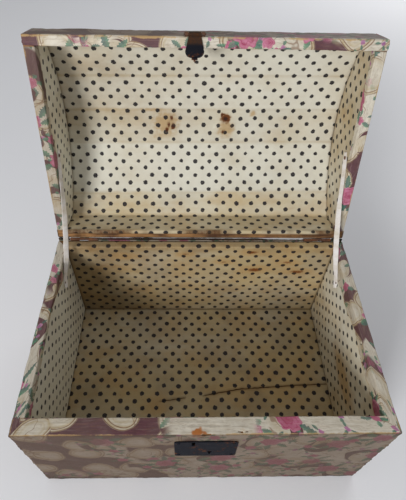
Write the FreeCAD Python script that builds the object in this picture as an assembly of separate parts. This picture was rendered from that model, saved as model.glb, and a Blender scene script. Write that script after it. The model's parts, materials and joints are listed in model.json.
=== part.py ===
import FreeCAD, Part
import math
import os

from FreeCAD import Rotation, Vector

# Dome top trunk: a box of nailed boards with an arched lid, covered in printed cloth and lined with paper.
# It stands open, with the lid leaning back on two tapes. Millimetres; the origin is the middle of the
# underside, +X is to the right of someone who faces the front, -Y is the front and +Z is up.
# The lid and what it carries are modelled closed and then swung open about the hinge axis.

# Overall sizes, measured over the covering
WIDTH = 356.0
DEPTH = 232.0
BOX_HEIGHT = 153.0
LID_SIDE = 38.0
LID_CROWN = 82.0
LID_OPEN = 105.0
LID_GAP = 0.4

# Boards, cloth and paper
BOTTOM_BOARD = 11.0
FRONT_BOARD = 15.2
BACK_BOARD = 10.0
END_BOARD = 10.0
LID_BOARD = 9.0
DOME_SHEET = 5.0
COVER = 0.8
LINING = 0.8
PASTE = 0.05
TURN_IN = 15.0
HEM_LIFT = 0.6

# Cut nails in the boards: square, tapered, driven flush
NAIL_HEAD = 2.2
NAIL_TIP = 1.0
NAIL_BITE = 16.0
DOME_NAIL_BITE = 11.0
DOME_NAIL_SINK = 0.2
CORNER_NAILS = 3
LID_CORNER_NAILS = 2
LONG_EDGE_NAILS = 4
END_EDGE_NAILS = 2
DOME_NAILS = 5

# Round-headed pins in the fittings
PIN_SHANK = 0.8
PIN_HEAD = 1.9
PIN_CROWN = 0.7
PIN_BITE = 6.0
HEAD_TAPER = 0.6

# Butt hinges on the back
HINGE_FROM_END = 32.0
HINGE_LENGTH = 34.0
HINGE_LEAF = 22.0
HINGE_SHEET = 0.9
HINGE_STANDOFF = 1.8
HINGE_KNUCKLE = 1.7
HINGE_MIDDLE = 11.2
HINGE_PIN = 0.8
PIN_CLEARANCE = 0.05
KNUCKLE_GAP = 0.3
HINGE_NAIL_PITCH = 12.0
HINGE_NAIL_FAR = 16.0
HINGE_NAIL_NEAR = 10.0

# Hasp on the front of the lid: a leaf, a pin and a tongue with a staple on its back
HASP_X = -12.0
HASP_LEAF_WIDTH = 20.0
HASP_LEAF_HEIGHT = 15.0
HASP_SHEET = 1.2
HASP_KNUCKLE = 2.1
HASP_PIN = 0.9
HASP_BACK = 1.0
HASP_CLEARANCE = 0.4
HASP_NECK = 12.0
HASP_WIDE = 18.6
HASP_LENGTH = 21.5
HASP_CORNER = 6.0
HASP_FOLD = 90.0
HASP_NAIL_PITCH = 14.0
LIP_RADIUS = 1.3
LIP_WIDTH = 6.0
STAPLE_REACH = 21.6
STAPLE_THICK = 2.0
STAPLE_HALF = 3.6
STAPLE_PROUD = 7.2
STAPLE_EYE_DEEP = 2.8
STAPLE_EYE_TALL = 4.0

# Lock let into the front board
LOCK_WIDTH = 60.0
LOCK_HEIGHT = 43.0
LOCK_BELOW_RIM = 16.5
LOCK_PLATE = 1.2
LOCK_CORNER = 3.0
CASE_WIDTH = 44.0
CASE_TOP_MARGIN = 1.5
CASE_FOOT_MARGIN = 4.0
CASE_DEPTH = 8.5
CASE_WALL = 1.0
CASE_CLEARANCE = 0.2
SLOT_SIDE = 0.6
SLOT_END = 1.2
KEYHOLE_X = 4.0
KEYHOLE_BELOW_BOLT = 24.0
KEYHOLE_RADIUS = 2.2
KEYHOLE_SLIT = 1.8
KEYHOLE_DROP = 6.5
KEY_POST = 0.9
LOCK_PIN_INSET = 4.0
BOLT_CLEARANCE = 0.2
BOLT_TRAVEL = 6.0
BOLT_HALF = 1.6
BOLT_NOSE_THICK = 1.8
BOLT_NOSE_GAP = 1.0
BOLT_NOSE_LENGTH = 6.0
BOLT_TAIL_WIDTH = 8.0
BOLT_TAIL_DROP = 12.8
BOLT_TALON = 2.2
BOLT_END_X = 20.0
RAIL_WIDTH = 3.0
RAIL_HEIGHT = 2.5
SPRING_SHEET = 0.6
SPRING_HALF = 10.0
SPRING_WIDTH = 4.0

# Carrying handle on the crown: two split-pin eyes and a wire bail
HANDLE_X = -7.0
HANDLE_SPAN = 73.0
EYE_RING = 3.2
EYE_WIRE = 1.0
EYE_SHANK = 1.3
WASHER_RADIUS = 8.0
WASHER_THICK = 0.8
PRONG_LENGTH = 9.0
PRONG_WIDTH = 1.6
PRONG_THICK = 0.8
PRONG_GAP = 0.05
BAIL_WIRE = 1.6
BAIL_STUB = 5.0
BAIL_HEAD = 2.7
BAIL_HEAD_LENGTH = 1.6
BAIL_DROP = 30.0
BAIL_SHOULDER = 4.0
BAIL_BEND = 8.0

# Lid stays: flat cotton tapes from the box ends to the lid ends
STAY_WIDTH = 6.5
STAY_THICK = 0.8
STAY_GAP = 0.2
STAY_TAIL = 6.0
STAY_BOX_FROM_BACK = 47.0
STAY_BOX_BELOW_RIM = 24.0
STAY_LID_FROM_BACK = 102.0
STAY_LID_ABOVE_RIM = 17.0
TACK_HEAD = 2.4

# Planes that the pieces share
HALF_WIDTH = WIDTH / 2
HALF_DEPTH = DEPTH / 2
BOARD_X = HALF_WIDTH - COVER
BOARD_Y = HALF_DEPTH - COVER
INNER_X = BOARD_X - END_BOARD
FRONT_INNER_Y = -BOARD_Y + FRONT_BOARD
BACK_INNER_Y = BOARD_Y - BACK_BOARD
BOARD_TOP = BOX_HEIGHT - COVER
FLOOR_TOP = BOTTOM_BOARD + LINING
LID_RIM = BOX_HEIGHT + LID_GAP
LID_BOARD_FOOT = LID_RIM + COVER
LID_INNER_Y = BOARD_Y - LID_BOARD
CROWN_Z = LID_RIM + LID_CROWN
DOME_RISE = LID_CROWN - LID_SIDE
DOME_RADIUS = (HALF_DEPTH ** 2 + DOME_RISE ** 2) / (2 * DOME_RISE)
DOME_Z = CROWN_Z - DOME_RADIUS
SHEET_RADIUS = DOME_RADIUS - COVER
UNDER_RADIUS = SHEET_RADIUS - DOME_SHEET
PASTED_RADIUS = UNDER_RADIUS - PASTE
PAPER_RADIUS = PASTED_RADIUS - LINING
HINGE_X = HALF_WIDTH - HINGE_FROM_END
HINGE_Y = HALF_DEPTH + HINGE_STANDOFF
HINGE_Z = BOX_HEIGHT + LID_GAP / 2
HASP_Y = -HALF_DEPTH - LOCK_PLATE - HASP_CLEARANCE - HASP_BACK
HASP_Z = LID_RIM - HASP_CLEARANCE - HASP_BACK
LOCK_TOP = BOX_HEIGHT - LOCK_BELOW_RIM
LOCK_FOOT = LOCK_TOP - LOCK_HEIGHT
BOLT_Z = HASP_Z - STAPLE_REACH
KEYHOLE_Z = BOLT_Z - KEYHOLE_BELOW_BOLT
EYE_Z = CROWN_Z + WASHER_THICK + EYE_RING + EYE_WIRE
STAY_X = INNER_X - LINING - STAY_GAP

SIDES = {"left": -1, "right": 1}
FRONT = Vector(0, -1, 0)
BACK = Vector(0, 1, 0)
UP = Vector(0, 0, 1)


def block(x, y, z):
    """Box between two limits along each axis, given in either order."""
    x, y, z = sorted(x), sorted(y), sorted(z)
    return Part.makeBox(x[1] - x[0], y[1] - y[0], z[1] - z[0], Vector(x[0], y[0], z[0]))


def rod(radius, start, end):
    """Round bar from one point to another."""
    axis = end.sub(start)
    return Part.makeCylinder(radius, axis.Length, start, axis)


def spread(count, low, high):
    """Places of a row of fasteners, with half a pitch left free at each end."""
    places = round(count)
    pitch = (high - low) / places
    return [low + pitch * (index + 0.5) for index in range(places)]


def dome_height(radius, y):
    """Height of an arc of the dome above the floor at depth y."""
    return DOME_Z + math.sqrt(radius ** 2 - y ** 2)


def arch(half, foot, radius, x):
    """Solid with the lid's end view: flat foot, upright sides and an arc of the dome on top."""
    shoulder = dome_height(radius, half)
    foot_front = Vector(x[0], -half, foot)
    top_front = Vector(x[0], -half, shoulder)
    top = Vector(x[0], 0, DOME_Z + radius)
    top_back = Vector(x[0], half, shoulder)
    foot_back = Vector(x[0], half, foot)
    outline = [
        Part.LineSegment(foot_front, top_front).toShape(),
        Part.Arc(top_front, top, top_back).toShape(),
        Part.LineSegment(top_back, foot_back).toShape(),
        Part.LineSegment(foot_back, foot_front).toShape(),
    ]
    return Part.Face(Part.Wire(outline)).extrude(Vector(x[1] - x[0], 0, 0))


def cut_nail(head, inward, length):
    """Square nail that tapers from its head to its tip."""
    squares = []
    for size, depth in ((NAIL_HEAD, 0.0), (NAIL_TIP, length)):
        half = size / 2
        corners = [(-half, -half), (half, -half), (half, half), (-half, half), (-half, -half)]
        squares.append(Part.makePolygon([Vector(u, v, depth) for u, v in corners]))
    nail = Part.makeLoft(squares, True, True)
    nail.Placement = FreeCAD.Placement(head, Rotation(UP, inward))
    return nail


def pin(seat, inward, bite, head=PIN_HEAD):
    """Round-headed pin: seat is the middle of the surface under its head."""
    shank = rod(PIN_SHANK, seat, seat + inward * bite)
    cap = Part.makeCone(head, head * HEAD_TAPER, PIN_CROWN, seat, inward * -1)
    return shank.fuse(cap).removeSplitter()


def open_lid(shape):
    """Swing a piece of the closed lid back to where the stays hold it."""
    swung = shape.copy()
    swung.rotate(Vector(0, HINGE_Y, HINGE_Z), Vector(1, 0, 0), -LID_OPEN)
    return swung


def open_point(point):
    """Place of a point of the closed lid once the lid is open."""
    return open_lid(Part.Vertex(point)).Point


# Cut nails of the box and the lid
def make_body_nails():
    """Nails through the front and back boards into the end boards."""
    nails = []
    end_x = BOARD_X - END_BOARD / 2
    for side in SIDES.values():
        for height in spread(CORNER_NAILS, BOTTOM_BOARD, BOARD_TOP):
            front = Vector(side * end_x, -BOARD_Y, height)
            back = Vector(side * end_x, BOARD_Y, height)
            nails.append(cut_nail(front, BACK, FRONT_BOARD + NAIL_BITE))
            nails.append(cut_nail(back, FRONT, BACK_BOARD + NAIL_BITE))
    return nails


def make_bottom_nails():
    """Nails up through the bottom board into the four walls."""
    nails = []
    length = BOTTOM_BOARD + NAIL_BITE
    for x in spread(LONG_EDGE_NAILS, -INNER_X, INNER_X):
        nails.append(cut_nail(Vector(x, -BOARD_Y + FRONT_BOARD / 2, 0), UP, length))
        nails.append(cut_nail(Vector(x, BOARD_Y - BACK_BOARD / 2, 0), UP, length))
    for side in SIDES.values():
        for y in spread(END_EDGE_NAILS, FRONT_INNER_Y, BACK_INNER_Y):
            nails.append(cut_nail(Vector(side * (BOARD_X - END_BOARD / 2), y, 0), UP, length))
    return nails


def make_lid_corner_nails():
    """Nails through the lid's front and back boards into its arched ends."""
    nails = []
    end_x = BOARD_X - END_BOARD / 2
    for side in SIDES.values():
        for height in spread(LID_CORNER_NAILS, LID_BOARD_FOOT, LID_RIM + LID_SIDE - DOME_SHEET):
            front = Vector(side * end_x, -BOARD_Y, height)
            back = Vector(side * end_x, BOARD_Y, height)
            nails.append(cut_nail(front, BACK, LID_BOARD + NAIL_BITE))
            nails.append(cut_nail(back, FRONT, LID_BOARD + NAIL_BITE))
    return nails


def make_dome_nails():
    """Nails through the bent sheet into the arched ends, square to the arc."""
    nails = []
    reach = math.asin((LID_INNER_Y - LID_BOARD) / SHEET_RADIUS)
    for side in SIDES.values():
        for angle in spread(DOME_NAILS, -reach, reach):
            outward = Vector(0, math.sin(angle), math.cos(angle))
            centre = Vector(side * (BOARD_X - END_BOARD / 2), 0, DOME_Z)
            head = centre + outward * (SHEET_RADIUS - DOME_NAIL_SINK)
            nails.append(cut_nail(head, outward * -1, DOME_SHEET + DOME_NAIL_BITE))
    return nails


# Fittings' pins, with the seat of each head
def make_hinge_pins(sign):
    """Nails of both hinge leaves on one side of the axis: sign is 1 for the lid and -1 for the box."""
    nails = []
    bite = HINGE_SHEET + COVER + PIN_BITE
    for side in SIDES.values():
        middle = side * HINGE_X
        for step in (-1, 0, 1):
            rise = HINGE_NAIL_FAR if step else HINGE_NAIL_NEAR
            seat = Vector(middle + step * HINGE_NAIL_PITCH, HALF_DEPTH + HINGE_SHEET, HINGE_Z + sign * rise)
            nails.append(pin(seat, FRONT, bite))
    return nails


def make_hasp_pins():
    """Two nails that hold the hasp's leaf to the lid."""
    height = LID_RIM + HASP_LEAF_HEIGHT / 2
    seats = [Vector(HASP_X + step * HASP_NAIL_PITCH / 2, -HALF_DEPTH - HASP_SHEET, height) for step in (-1, 1)]
    return [pin(seat, BACK, HASP_SHEET + COVER + PIN_BITE) for seat in seats]


def make_lock_pins():
    """Four pins in the corners of the lock plate."""
    nails = []
    for x in (-LOCK_WIDTH / 2 + LOCK_PIN_INSET, LOCK_WIDTH / 2 - LOCK_PIN_INSET):
        for z in (LOCK_FOOT + LOCK_PIN_INSET, LOCK_TOP - LOCK_PIN_INSET):
            seat = Vector(x, -HALF_DEPTH - LOCK_PLATE, z)
            nails.append(pin(seat, BACK, LOCK_PLATE + COVER + PIN_BITE))
    return nails


def stay_ends():
    """Box tack and lid tack of a stay, as points in the YZ plane, the lid's one on the closed lid."""
    box_end = Vector(0, HALF_DEPTH - STAY_BOX_FROM_BACK, BOX_HEIGHT - STAY_BOX_BELOW_RIM)
    lid_end = Vector(0, HALF_DEPTH - STAY_LID_FROM_BACK, LID_RIM + STAY_LID_ABOVE_RIM)
    return box_end, lid_end


def make_stay_tacks(end):
    """One tack on each side, over the tape and into the end board."""
    tacks = []
    bite = STAY_THICK + STAY_GAP + LINING + PIN_BITE
    for side in SIDES.values():
        seat = Vector(side * (STAY_X - STAY_THICK), end.y, end.z)
        tacks.append(pin(seat, Vector(side, 0, 0), bite, TACK_HEAD))
    return tacks


# Box
def make_box_boards(nails):
    """Bottom with four walls on it; the front and back boards lap the ends."""
    wall_z = (BOTTOM_BOARD, BOARD_TOP)
    between = (FRONT_INNER_Y, BACK_INNER_Y)
    boards = {
        "bottom_board": block((-BOARD_X, BOARD_X), (-BOARD_Y, BOARD_Y), (0, BOTTOM_BOARD)),
        "front_board": block((-BOARD_X, BOARD_X), (-BOARD_Y, FRONT_INNER_Y), wall_z).cut(lock_mortise()),
        "back_board": block((-BOARD_X, BOARD_X), (BACK_INNER_Y, BOARD_Y), wall_z),
    }
    for name, side in SIDES.items():
        boards[name + "_end_board"] = block((side * INNER_X, side * BOARD_X), between, wall_z)
    return {name: board.cut(nails) for name, board in boards.items()}


def make_body_covering(pins):
    """Cloth round the outside, folded over the rim and down inside the walls."""
    opening_x = (-INNER_X + COVER, INNER_X - COVER)
    opening_y = (FRONT_INNER_Y + COVER, BACK_INNER_Y - COVER)
    cloth = block((-HALF_WIDTH, HALF_WIDTH), (-HALF_DEPTH, HALF_DEPTH), (HEM_LIFT, BOX_HEIGHT))
    cloth = cloth.cut(block((-BOARD_X, BOARD_X), (-BOARD_Y, BOARD_Y), (0, BOARD_TOP)))
    fold = block((-INNER_X, INNER_X), (FRONT_INNER_Y, BACK_INNER_Y), (BOX_HEIGHT - TURN_IN, BOARD_TOP))
    cloth = cloth.fuse(fold).cut(block(opening_x, opening_y, (0, BOX_HEIGHT + COVER)))
    return cloth.cut([lock_mortise()] + pins).removeSplitter()


def make_box_linings(tacks):
    """Paper on the floor and the four walls, up to the edge of the turned-in cloth."""
    wall_z = (FLOOR_TOP, BOX_HEIGHT - TURN_IN)
    across = (-INNER_X + LINING, INNER_X - LINING)
    along = (FRONT_INNER_Y, BACK_INNER_Y)
    papers = {
        "floor_lining": block((-INNER_X, INNER_X), along, (BOTTOM_BOARD, FLOOR_TOP)),
        "front_lining": block(across, (FRONT_INNER_Y, FRONT_INNER_Y + LINING), wall_z),
        "back_lining": block(across, (BACK_INNER_Y - LINING, BACK_INNER_Y), wall_z),
    }
    for name, side in SIDES.items():
        papers[name + "_end_lining"] = block((side * (INNER_X - LINING), side * INNER_X), along, wall_z)
    return {name: paper.cut(tacks) for name, paper in papers.items()}


# Lid, closed
def make_lid_boards(nails):
    """Low front and back boards and arched ends, all topped by the underside of the bent sheet."""
    under = Part.makeCylinder(UNDER_RADIUS, WIDTH, Vector(-HALF_WIDTH, 0, DOME_Z), Vector(1, 0, 0))
    boards = {}
    for name, side in (("front", -1), ("back", 1)):
        wall = block((-BOARD_X, BOARD_X), (side * LID_INNER_Y, side * BOARD_Y), (LID_BOARD_FOOT, CROWN_Z))
        boards["lid_" + name + "_board"] = wall.common(under)
    for name, side in SIDES.items():
        end = arch(LID_INNER_Y, LID_BOARD_FOOT, UNDER_RADIUS, (side * INNER_X, side * BOARD_X))
        boards["lid_" + name + "_end_board"] = end
    sheet_foot = dome_height(UNDER_RADIUS, BOARD_Y) - COVER
    boards["dome_sheet"] = arch(BOARD_Y, sheet_foot, SHEET_RADIUS, (-BOARD_X, BOARD_X)).cut(under)
    return {name: board.cut(nails) for name, board in boards.items()}


def make_lid_coverings(pins):
    """Cloth over the dome and its low walls, and one panel on each end, all turned in at the rim."""
    rim = (LID_RIM, LID_BOARD_FOOT)
    fold = (LID_RIM, LID_RIM + TURN_IN)
    inner = LID_INNER_Y - COVER
    dome = arch(HALF_DEPTH, LID_RIM, DOME_RADIUS, (-BOARD_X, BOARD_X))
    dome = dome.cut(arch(BOARD_Y, LID_BOARD_FOOT, SHEET_RADIUS, (-BOARD_X, BOARD_X)))
    dome = dome.cut(block((-BOARD_X, BOARD_X), (-inner, inner), (LID_RIM - COVER, LID_BOARD_FOOT + COVER)))
    for side in (-1, 1):
        dome = dome.fuse(block((-INNER_X, INNER_X), (side * inner, side * LID_INNER_Y), fold))
    cloths = {"lid_dome_covering": dome}
    for name, side in SIDES.items():
        panel = arch(HALF_DEPTH, LID_RIM, DOME_RADIUS, (side * BOARD_X, side * HALF_WIDTH))
        panel = panel.fuse(block((side * (INNER_X - COVER), side * BOARD_X), (-inner, inner), rim))
        panel = panel.fuse(block((side * (INNER_X - COVER), side * INNER_X), (-inner, inner), fold))
        cloths["lid_" + name + "_end_covering"] = panel
    return {name: cloth.cut(pins).removeSplitter() for name, cloth in cloths.items()}


def make_lid_linings(pins):
    """Paper inside the dome and on the two arched ends, from the turned-in cloth upwards."""
    foot = LID_RIM + TURN_IN
    hollow_y = LID_INNER_Y - LINING
    dome = arch(LID_INNER_Y, foot, PASTED_RADIUS, (-INNER_X, INNER_X))
    papers = {"lid_dome_lining": dome.cut(arch(hollow_y, foot - LINING, PAPER_RADIUS, (-INNER_X, INNER_X)))}
    for name, side in SIDES.items():
        end = arch(hollow_y - PASTE, foot, PAPER_RADIUS - PASTE, (side * (INNER_X - LINING), side * INNER_X))
        papers["lid_" + name + "_end_lining"] = end
    return {name: paper.cut(pins) for name, paper in papers.items()}


# Hinges
def make_hinge_leaf(middle, sign, nails):
    """Leaf on the back: the lid's one (sign 1) has the middle knuckle, the box's one the outer two."""
    half = HINGE_LENGTH / 2
    centre_half = HINGE_MIDDLE / 2
    inset = centre_half + KNUCKLE_GAP
    outer = [(middle - half, middle - inset), (middle + inset, middle + half)]
    own, other = ([(middle - centre_half, middle + centre_half)], outer)
    if sign < 0:
        own, other = (outer, own)
    plate_y = (HALF_DEPTH, HALF_DEPTH + HINGE_SHEET)
    leaf = block((middle - half, middle + half), plate_y, (HINGE_Z, HINGE_Z + sign * HINGE_LEAF))
    room = HINGE_KNUCKLE + KNUCKLE_GAP
    for low, high in other:
        gap_x = (low - KNUCKLE_GAP, high + KNUCKLE_GAP)
        leaf = leaf.cut(block(gap_x, plate_y, (HINGE_Z - room, HINGE_Z + room)))
    for low, high in own:
        leaf = leaf.fuse(rod(HINGE_KNUCKLE, Vector(low, HINGE_Y, HINGE_Z), Vector(high, HINGE_Y, HINGE_Z)))
    bore = rod(HINGE_PIN + PIN_CLEARANCE, Vector(middle - HINGE_LENGTH, HINGE_Y, HINGE_Z),
               Vector(middle + HINGE_LENGTH, HINGE_Y, HINGE_Z))
    return leaf.cut([bore] + nails).removeSplitter()


def make_hinge_pin(middle):
    """Pin through the three knuckles, a little longer than the leaves."""
    reach = HINGE_LENGTH / 2 + HINGE_SHEET
    return rod(HINGE_PIN, Vector(middle - reach, HINGE_Y, HINGE_Z), Vector(middle + reach, HINGE_Y, HINGE_Z))


# Hasp, closed and latched
def hasp_axis(half):
    """Two points of the hasp's pivot, half each way from its middle."""
    return Vector(HASP_X - half, HASP_Y, HASP_Z), Vector(HASP_X + half, HASP_Y, HASP_Z)


def make_hasp_leaf(nails):
    """Plate on the lid's front, curled into a knuckle on each side of the tongue's one."""
    half = HASP_LEAF_WIDTH / 2
    face_y = -HALF_DEPTH - HASP_CLEARANCE
    leaf = block((HASP_X - half, HASP_X + half), (-HALF_DEPTH - HASP_SHEET, -HALF_DEPTH),
                 (LID_RIM + HASP_CLEARANCE, LID_RIM + HASP_LEAF_HEIGHT))
    for side in (-1, 1):
        near = HASP_X + side * (HASP_NECK / 2 + KNUCKLE_GAP)
        far = HASP_X + side * half
        leaf = leaf.fuse(rod(HASP_KNUCKLE, Vector(near, HASP_Y, HASP_Z), Vector(far, HASP_Y, HASP_Z)))
        curl = block((near, far), (HASP_Y, face_y), (HASP_Z, LID_RIM + HASP_CLEARANCE + HASP_SHEET))
        leaf = leaf.fuse(curl)
    bore = rod(HASP_PIN + PIN_CLEARANCE, *hasp_axis(HASP_LEAF_WIDTH))
    return leaf.cut([bore] + nails).removeSplitter()


def make_hasp_tongue():
    """Tongue that widens from its knuckle to a rounded end with a small finger lip."""
    back_y = HASP_Y + HASP_BACK
    front_y = back_y - HASP_SHEET
    neck_z = HASP_Z - HASP_KNUCKLE - KNUCKLE_GAP
    end_z = HASP_Z - HASP_LENGTH
    wide_z = end_z + HASP_CORNER
    low = HASP_CORNER * (1 - math.sqrt(0.5))
    left = [(-HASP_NECK / 2, HASP_Z), (-HASP_NECK / 2, neck_z), (-HASP_WIDE / 2, wide_z)]
    corner = (-HASP_WIDE / 2 + low, end_z + low)
    foot = (-HASP_WIDE / 2 + HASP_CORNER, end_z)

    def at(place, mirror=1):
        return Vector(HASP_X + mirror * place[0], front_y, place[1])

    edges = []
    for mirror in (1, -1):
        for first, second in zip(left, left[1:]):
            edges.append(Part.LineSegment(at(first, mirror), at(second, mirror)).toShape())
        edges.append(Part.Arc(at(left[-1], mirror), at(corner, mirror), at(foot, mirror)).toShape())
    edges.append(Part.LineSegment(at(foot), at(foot, -1)).toShape())
    edges.append(Part.LineSegment(at(left[0]), at(left[0], -1)).toShape())
    outline = Part.Wire(Part.__sortEdges__(edges))
    tongue = Part.Face(outline).extrude(Vector(0, HASP_SHEET, 0))
    tongue = tongue.fuse(rod(HASP_KNUCKLE, *hasp_axis(HASP_NECK / 2)))
    lip_z = end_z - LIP_RADIUS / 2
    lip_y = back_y - LIP_RADIUS
    lip_ends = [Vector(HASP_X + side * LIP_WIDTH / 2, lip_y, lip_z) for side in (-1, 1)]
    tongue = tongue.fuse(rod(LIP_RADIUS, *lip_ends))
    return tongue.cut(rod(HASP_PIN + PIN_CLEARANCE, *hasp_axis(HASP_LEAF_WIDTH))).removeSplitter()


def staple_outline(half, proud, x):
    """Flat bar with a round nose, standing out of the back of the tongue."""
    back_y = HASP_Y + HASP_BACK
    shoulder_y = back_y + proud - half
    corners = [Vector(x, back_y, BOLT_Z - half), Vector(x, shoulder_y, BOLT_Z - half),
               Vector(x, shoulder_y, BOLT_Z + half), Vector(x, back_y, BOLT_Z + half)]
    nose = Vector(x, back_y + proud, BOLT_Z)
    edges = [
        Part.LineSegment(corners[0], corners[1]).toShape(),
        Part.Arc(corners[1], nose, corners[2]).toShape(),
        Part.LineSegment(corners[2], corners[3]).toShape(),
        Part.LineSegment(corners[3], corners[0]).toShape(),
    ]
    return Part.Face(Part.Wire(edges))


def make_hasp_staple():
    """Staple whose eye takes the bolt."""
    half = STAPLE_THICK / 2
    staple = staple_outline(STAPLE_HALF, STAPLE_PROUD, HASP_X - half).extrude(Vector(STAPLE_THICK, 0, 0))
    eye_y = HASP_Y + HASP_BACK + STAPLE_PROUD - STAPLE_HALF
    eye = block((HASP_X - half, HASP_X + half), (eye_y - STAPLE_EYE_DEEP / 2, eye_y + STAPLE_EYE_DEEP / 2),
                (BOLT_Z - STAPLE_EYE_TALL / 2, BOLT_Z + STAPLE_EYE_TALL / 2))
    return staple.cut(eye)


# Lock
def case_limits(margin):
    """Limits of the lock case along X and Z, grown by a margin."""
    across = CASE_WIDTH / 2 + margin
    return (-across, across), (LOCK_FOOT + CASE_FOOT_MARGIN - margin, LOCK_TOP - CASE_TOP_MARGIN + margin)


def lock_mortise():
    """Pocket in the front board and the cloth that takes the case."""
    x, z = case_limits(CASE_CLEARANCE)
    return block(x, (-HALF_DEPTH - COVER, -HALF_DEPTH + CASE_DEPTH + CASE_CLEARANCE), z)


def make_lock_plate(nails):
    """Plate with rounded corners, a slot for the staple and a keyhole."""
    plate_y = (-HALF_DEPTH - LOCK_PLATE, -HALF_DEPTH)
    plate = block((-LOCK_WIDTH / 2, LOCK_WIDTH / 2), plate_y, (LOCK_FOOT, LOCK_TOP))
    corners = [edge for edge in plate.Edges if abs(edge.tangentAt(edge.FirstParameter).y) > 0.5]
    plate = plate.makeFillet(LOCK_CORNER, corners)
    slot_half = STAPLE_THICK / 2 + SLOT_SIDE
    slot_tall = STAPLE_HALF + SLOT_END
    slot = block((HASP_X - slot_half, HASP_X + slot_half), plate_y, (BOLT_Z - slot_tall, BOLT_Z + slot_tall))
    round_hole = rod(KEYHOLE_RADIUS, Vector(KEYHOLE_X, plate_y[0], KEYHOLE_Z),
                     Vector(KEYHOLE_X, plate_y[1], KEYHOLE_Z))
    slit = block((KEYHOLE_X - KEYHOLE_SLIT / 2, KEYHOLE_X + KEYHOLE_SLIT / 2), plate_y,
                 (KEYHOLE_Z - KEYHOLE_DROP, KEYHOLE_Z))
    return plate.cut([slot, round_hole.fuse(slit)] + nails)


def bolt_tail():
    """Limits of the bolt's tail along X when it is drawn back."""
    return KEYHOLE_X - BOLT_TAIL_WIDTH / 2, KEYHOLE_X + BOLT_TAIL_WIDTH / 2


def bolt_faces():
    """Front and back faces of the bolt along Y; its thin nose is level with the staple's eye."""
    eye_y = HASP_Y + HASP_BACK + STAPLE_PROUD - STAPLE_HALF
    return eye_y - BOLT_NOSE_THICK / 2, -HALF_DEPTH + CASE_DEPTH - CASE_WALL - BOLT_CLEARANCE


def make_lock_case():
    """Open-fronted case with two rails under the bolt and a post for a pipe key."""
    tail = bolt_tail()
    front_y = bolt_faces()[0]
    x, z = case_limits(0)
    inner_x, inner_z = case_limits(-CASE_WALL)
    wall_y = -HALF_DEPTH + CASE_DEPTH - CASE_WALL
    case = block(x, (-HALF_DEPTH, -HALF_DEPTH + CASE_DEPTH), z)
    case = case.cut(block(inner_x, (-HALF_DEPTH, wall_y), inner_z))
    rail_top = BOLT_Z - BOLT_HALF - BOLT_CLEARANCE
    left_end = tail[0] - BOLT_TRAVEL - BOLT_CLEARANCE
    for low in (left_end - RAIL_WIDTH, tail[1] + BOLT_CLEARANCE):
        case = case.fuse(block((low, low + RAIL_WIDTH), (front_y, wall_y), (rail_top - RAIL_HEIGHT, rail_top)))
    post = rod(KEY_POST, Vector(KEYHOLE_X, wall_y, KEYHOLE_Z), Vector(KEYHOLE_X, front_y, KEYHOLE_Z))
    return case.fuse(post).removeSplitter()


def make_lock_bolt():
    """Sliding bolt: a thin nose for the staple's eye, a thick body and a tail with a notch for the key."""
    front_y, back_y = bolt_faces()
    nose_x = HASP_X + STAPLE_THICK / 2 + BOLT_NOSE_GAP
    body_x = nose_x + BOLT_NOSE_LENGTH
    tall = (BOLT_Z - BOLT_HALF, BOLT_Z + BOLT_HALF)
    bolt = block((nose_x, body_x), (front_y, front_y + BOLT_NOSE_THICK), tall)
    bolt = bolt.fuse(block((body_x, BOLT_END_X), (front_y, back_y), tall))
    foot = BOLT_Z - BOLT_HALF - BOLT_TAIL_DROP
    bolt = bolt.fuse(block(bolt_tail(), (front_y, back_y), (foot, BOLT_Z)))
    talon = rod(BOLT_TALON, Vector(KEYHOLE_X, front_y, foot), Vector(KEYHOLE_X, back_y, foot))
    return bolt.cut(talon).removeSplitter()


def make_lock_spring():
    """Bowed leaf between the top of the case and the bolt."""
    front_y, back_y = bolt_faces()
    top = case_limits(-CASE_WALL)[1][1] - PIN_CLEARANCE
    low = BOLT_Z + BOLT_HALF + BOLT_CLEARANCE
    edge_y = (front_y + back_y - SPRING_WIDTH) / 2
    middle = bolt_tail()[0]

    def bow(drop):
        ends = [Vector(middle + side * SPRING_HALF, edge_y, top - drop) for side in (-1, 1)]
        dip = Vector(middle, edge_y, low + SPRING_SHEET - drop)
        return ends[0], dip, ends[1]

    upper = bow(0)
    lower = bow(SPRING_SHEET)
    edges = [
        Part.Arc(*upper).toShape(),
        Part.LineSegment(upper[2], lower[2]).toShape(),
        Part.Arc(*lower).toShape(),
        Part.LineSegment(lower[0], upper[0]).toShape(),
    ]
    face = Part.Face(Part.Wire(Part.__sortEdges__(edges)))
    return face.extrude(Vector(0, SPRING_WIDTH, 0))


# Handle on the closed lid
def make_handle_eye(middle):
    """Split pin: a ring above the washer, a shank through the dome and two prongs bent flat inside."""
    ring = Part.makeTorus(EYE_RING, EYE_WIRE, Vector(middle, 0, EYE_Z), Vector(1, 0, 0))
    inside = DOME_Z + PAPER_RADIUS - PRONG_GAP
    shank = rod(EYE_SHANK, Vector(middle, 0, EYE_Z - EYE_RING), Vector(middle, 0, inside - PRONG_THICK))
    prongs = block((middle - PRONG_LENGTH, middle + PRONG_LENGTH), (-PRONG_WIDTH / 2, PRONG_WIDTH / 2),
                   (inside - PRONG_THICK, inside))
    return ring.fuse(shank).fuse(prongs).removeSplitter()


def make_handle_washer(middle):
    """Round washer under an eye, resting on the crown."""
    return rod(WASHER_RADIUS, Vector(middle, 0, CROWN_Z), Vector(middle, 0, CROWN_Z + WASHER_THICK))


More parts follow.
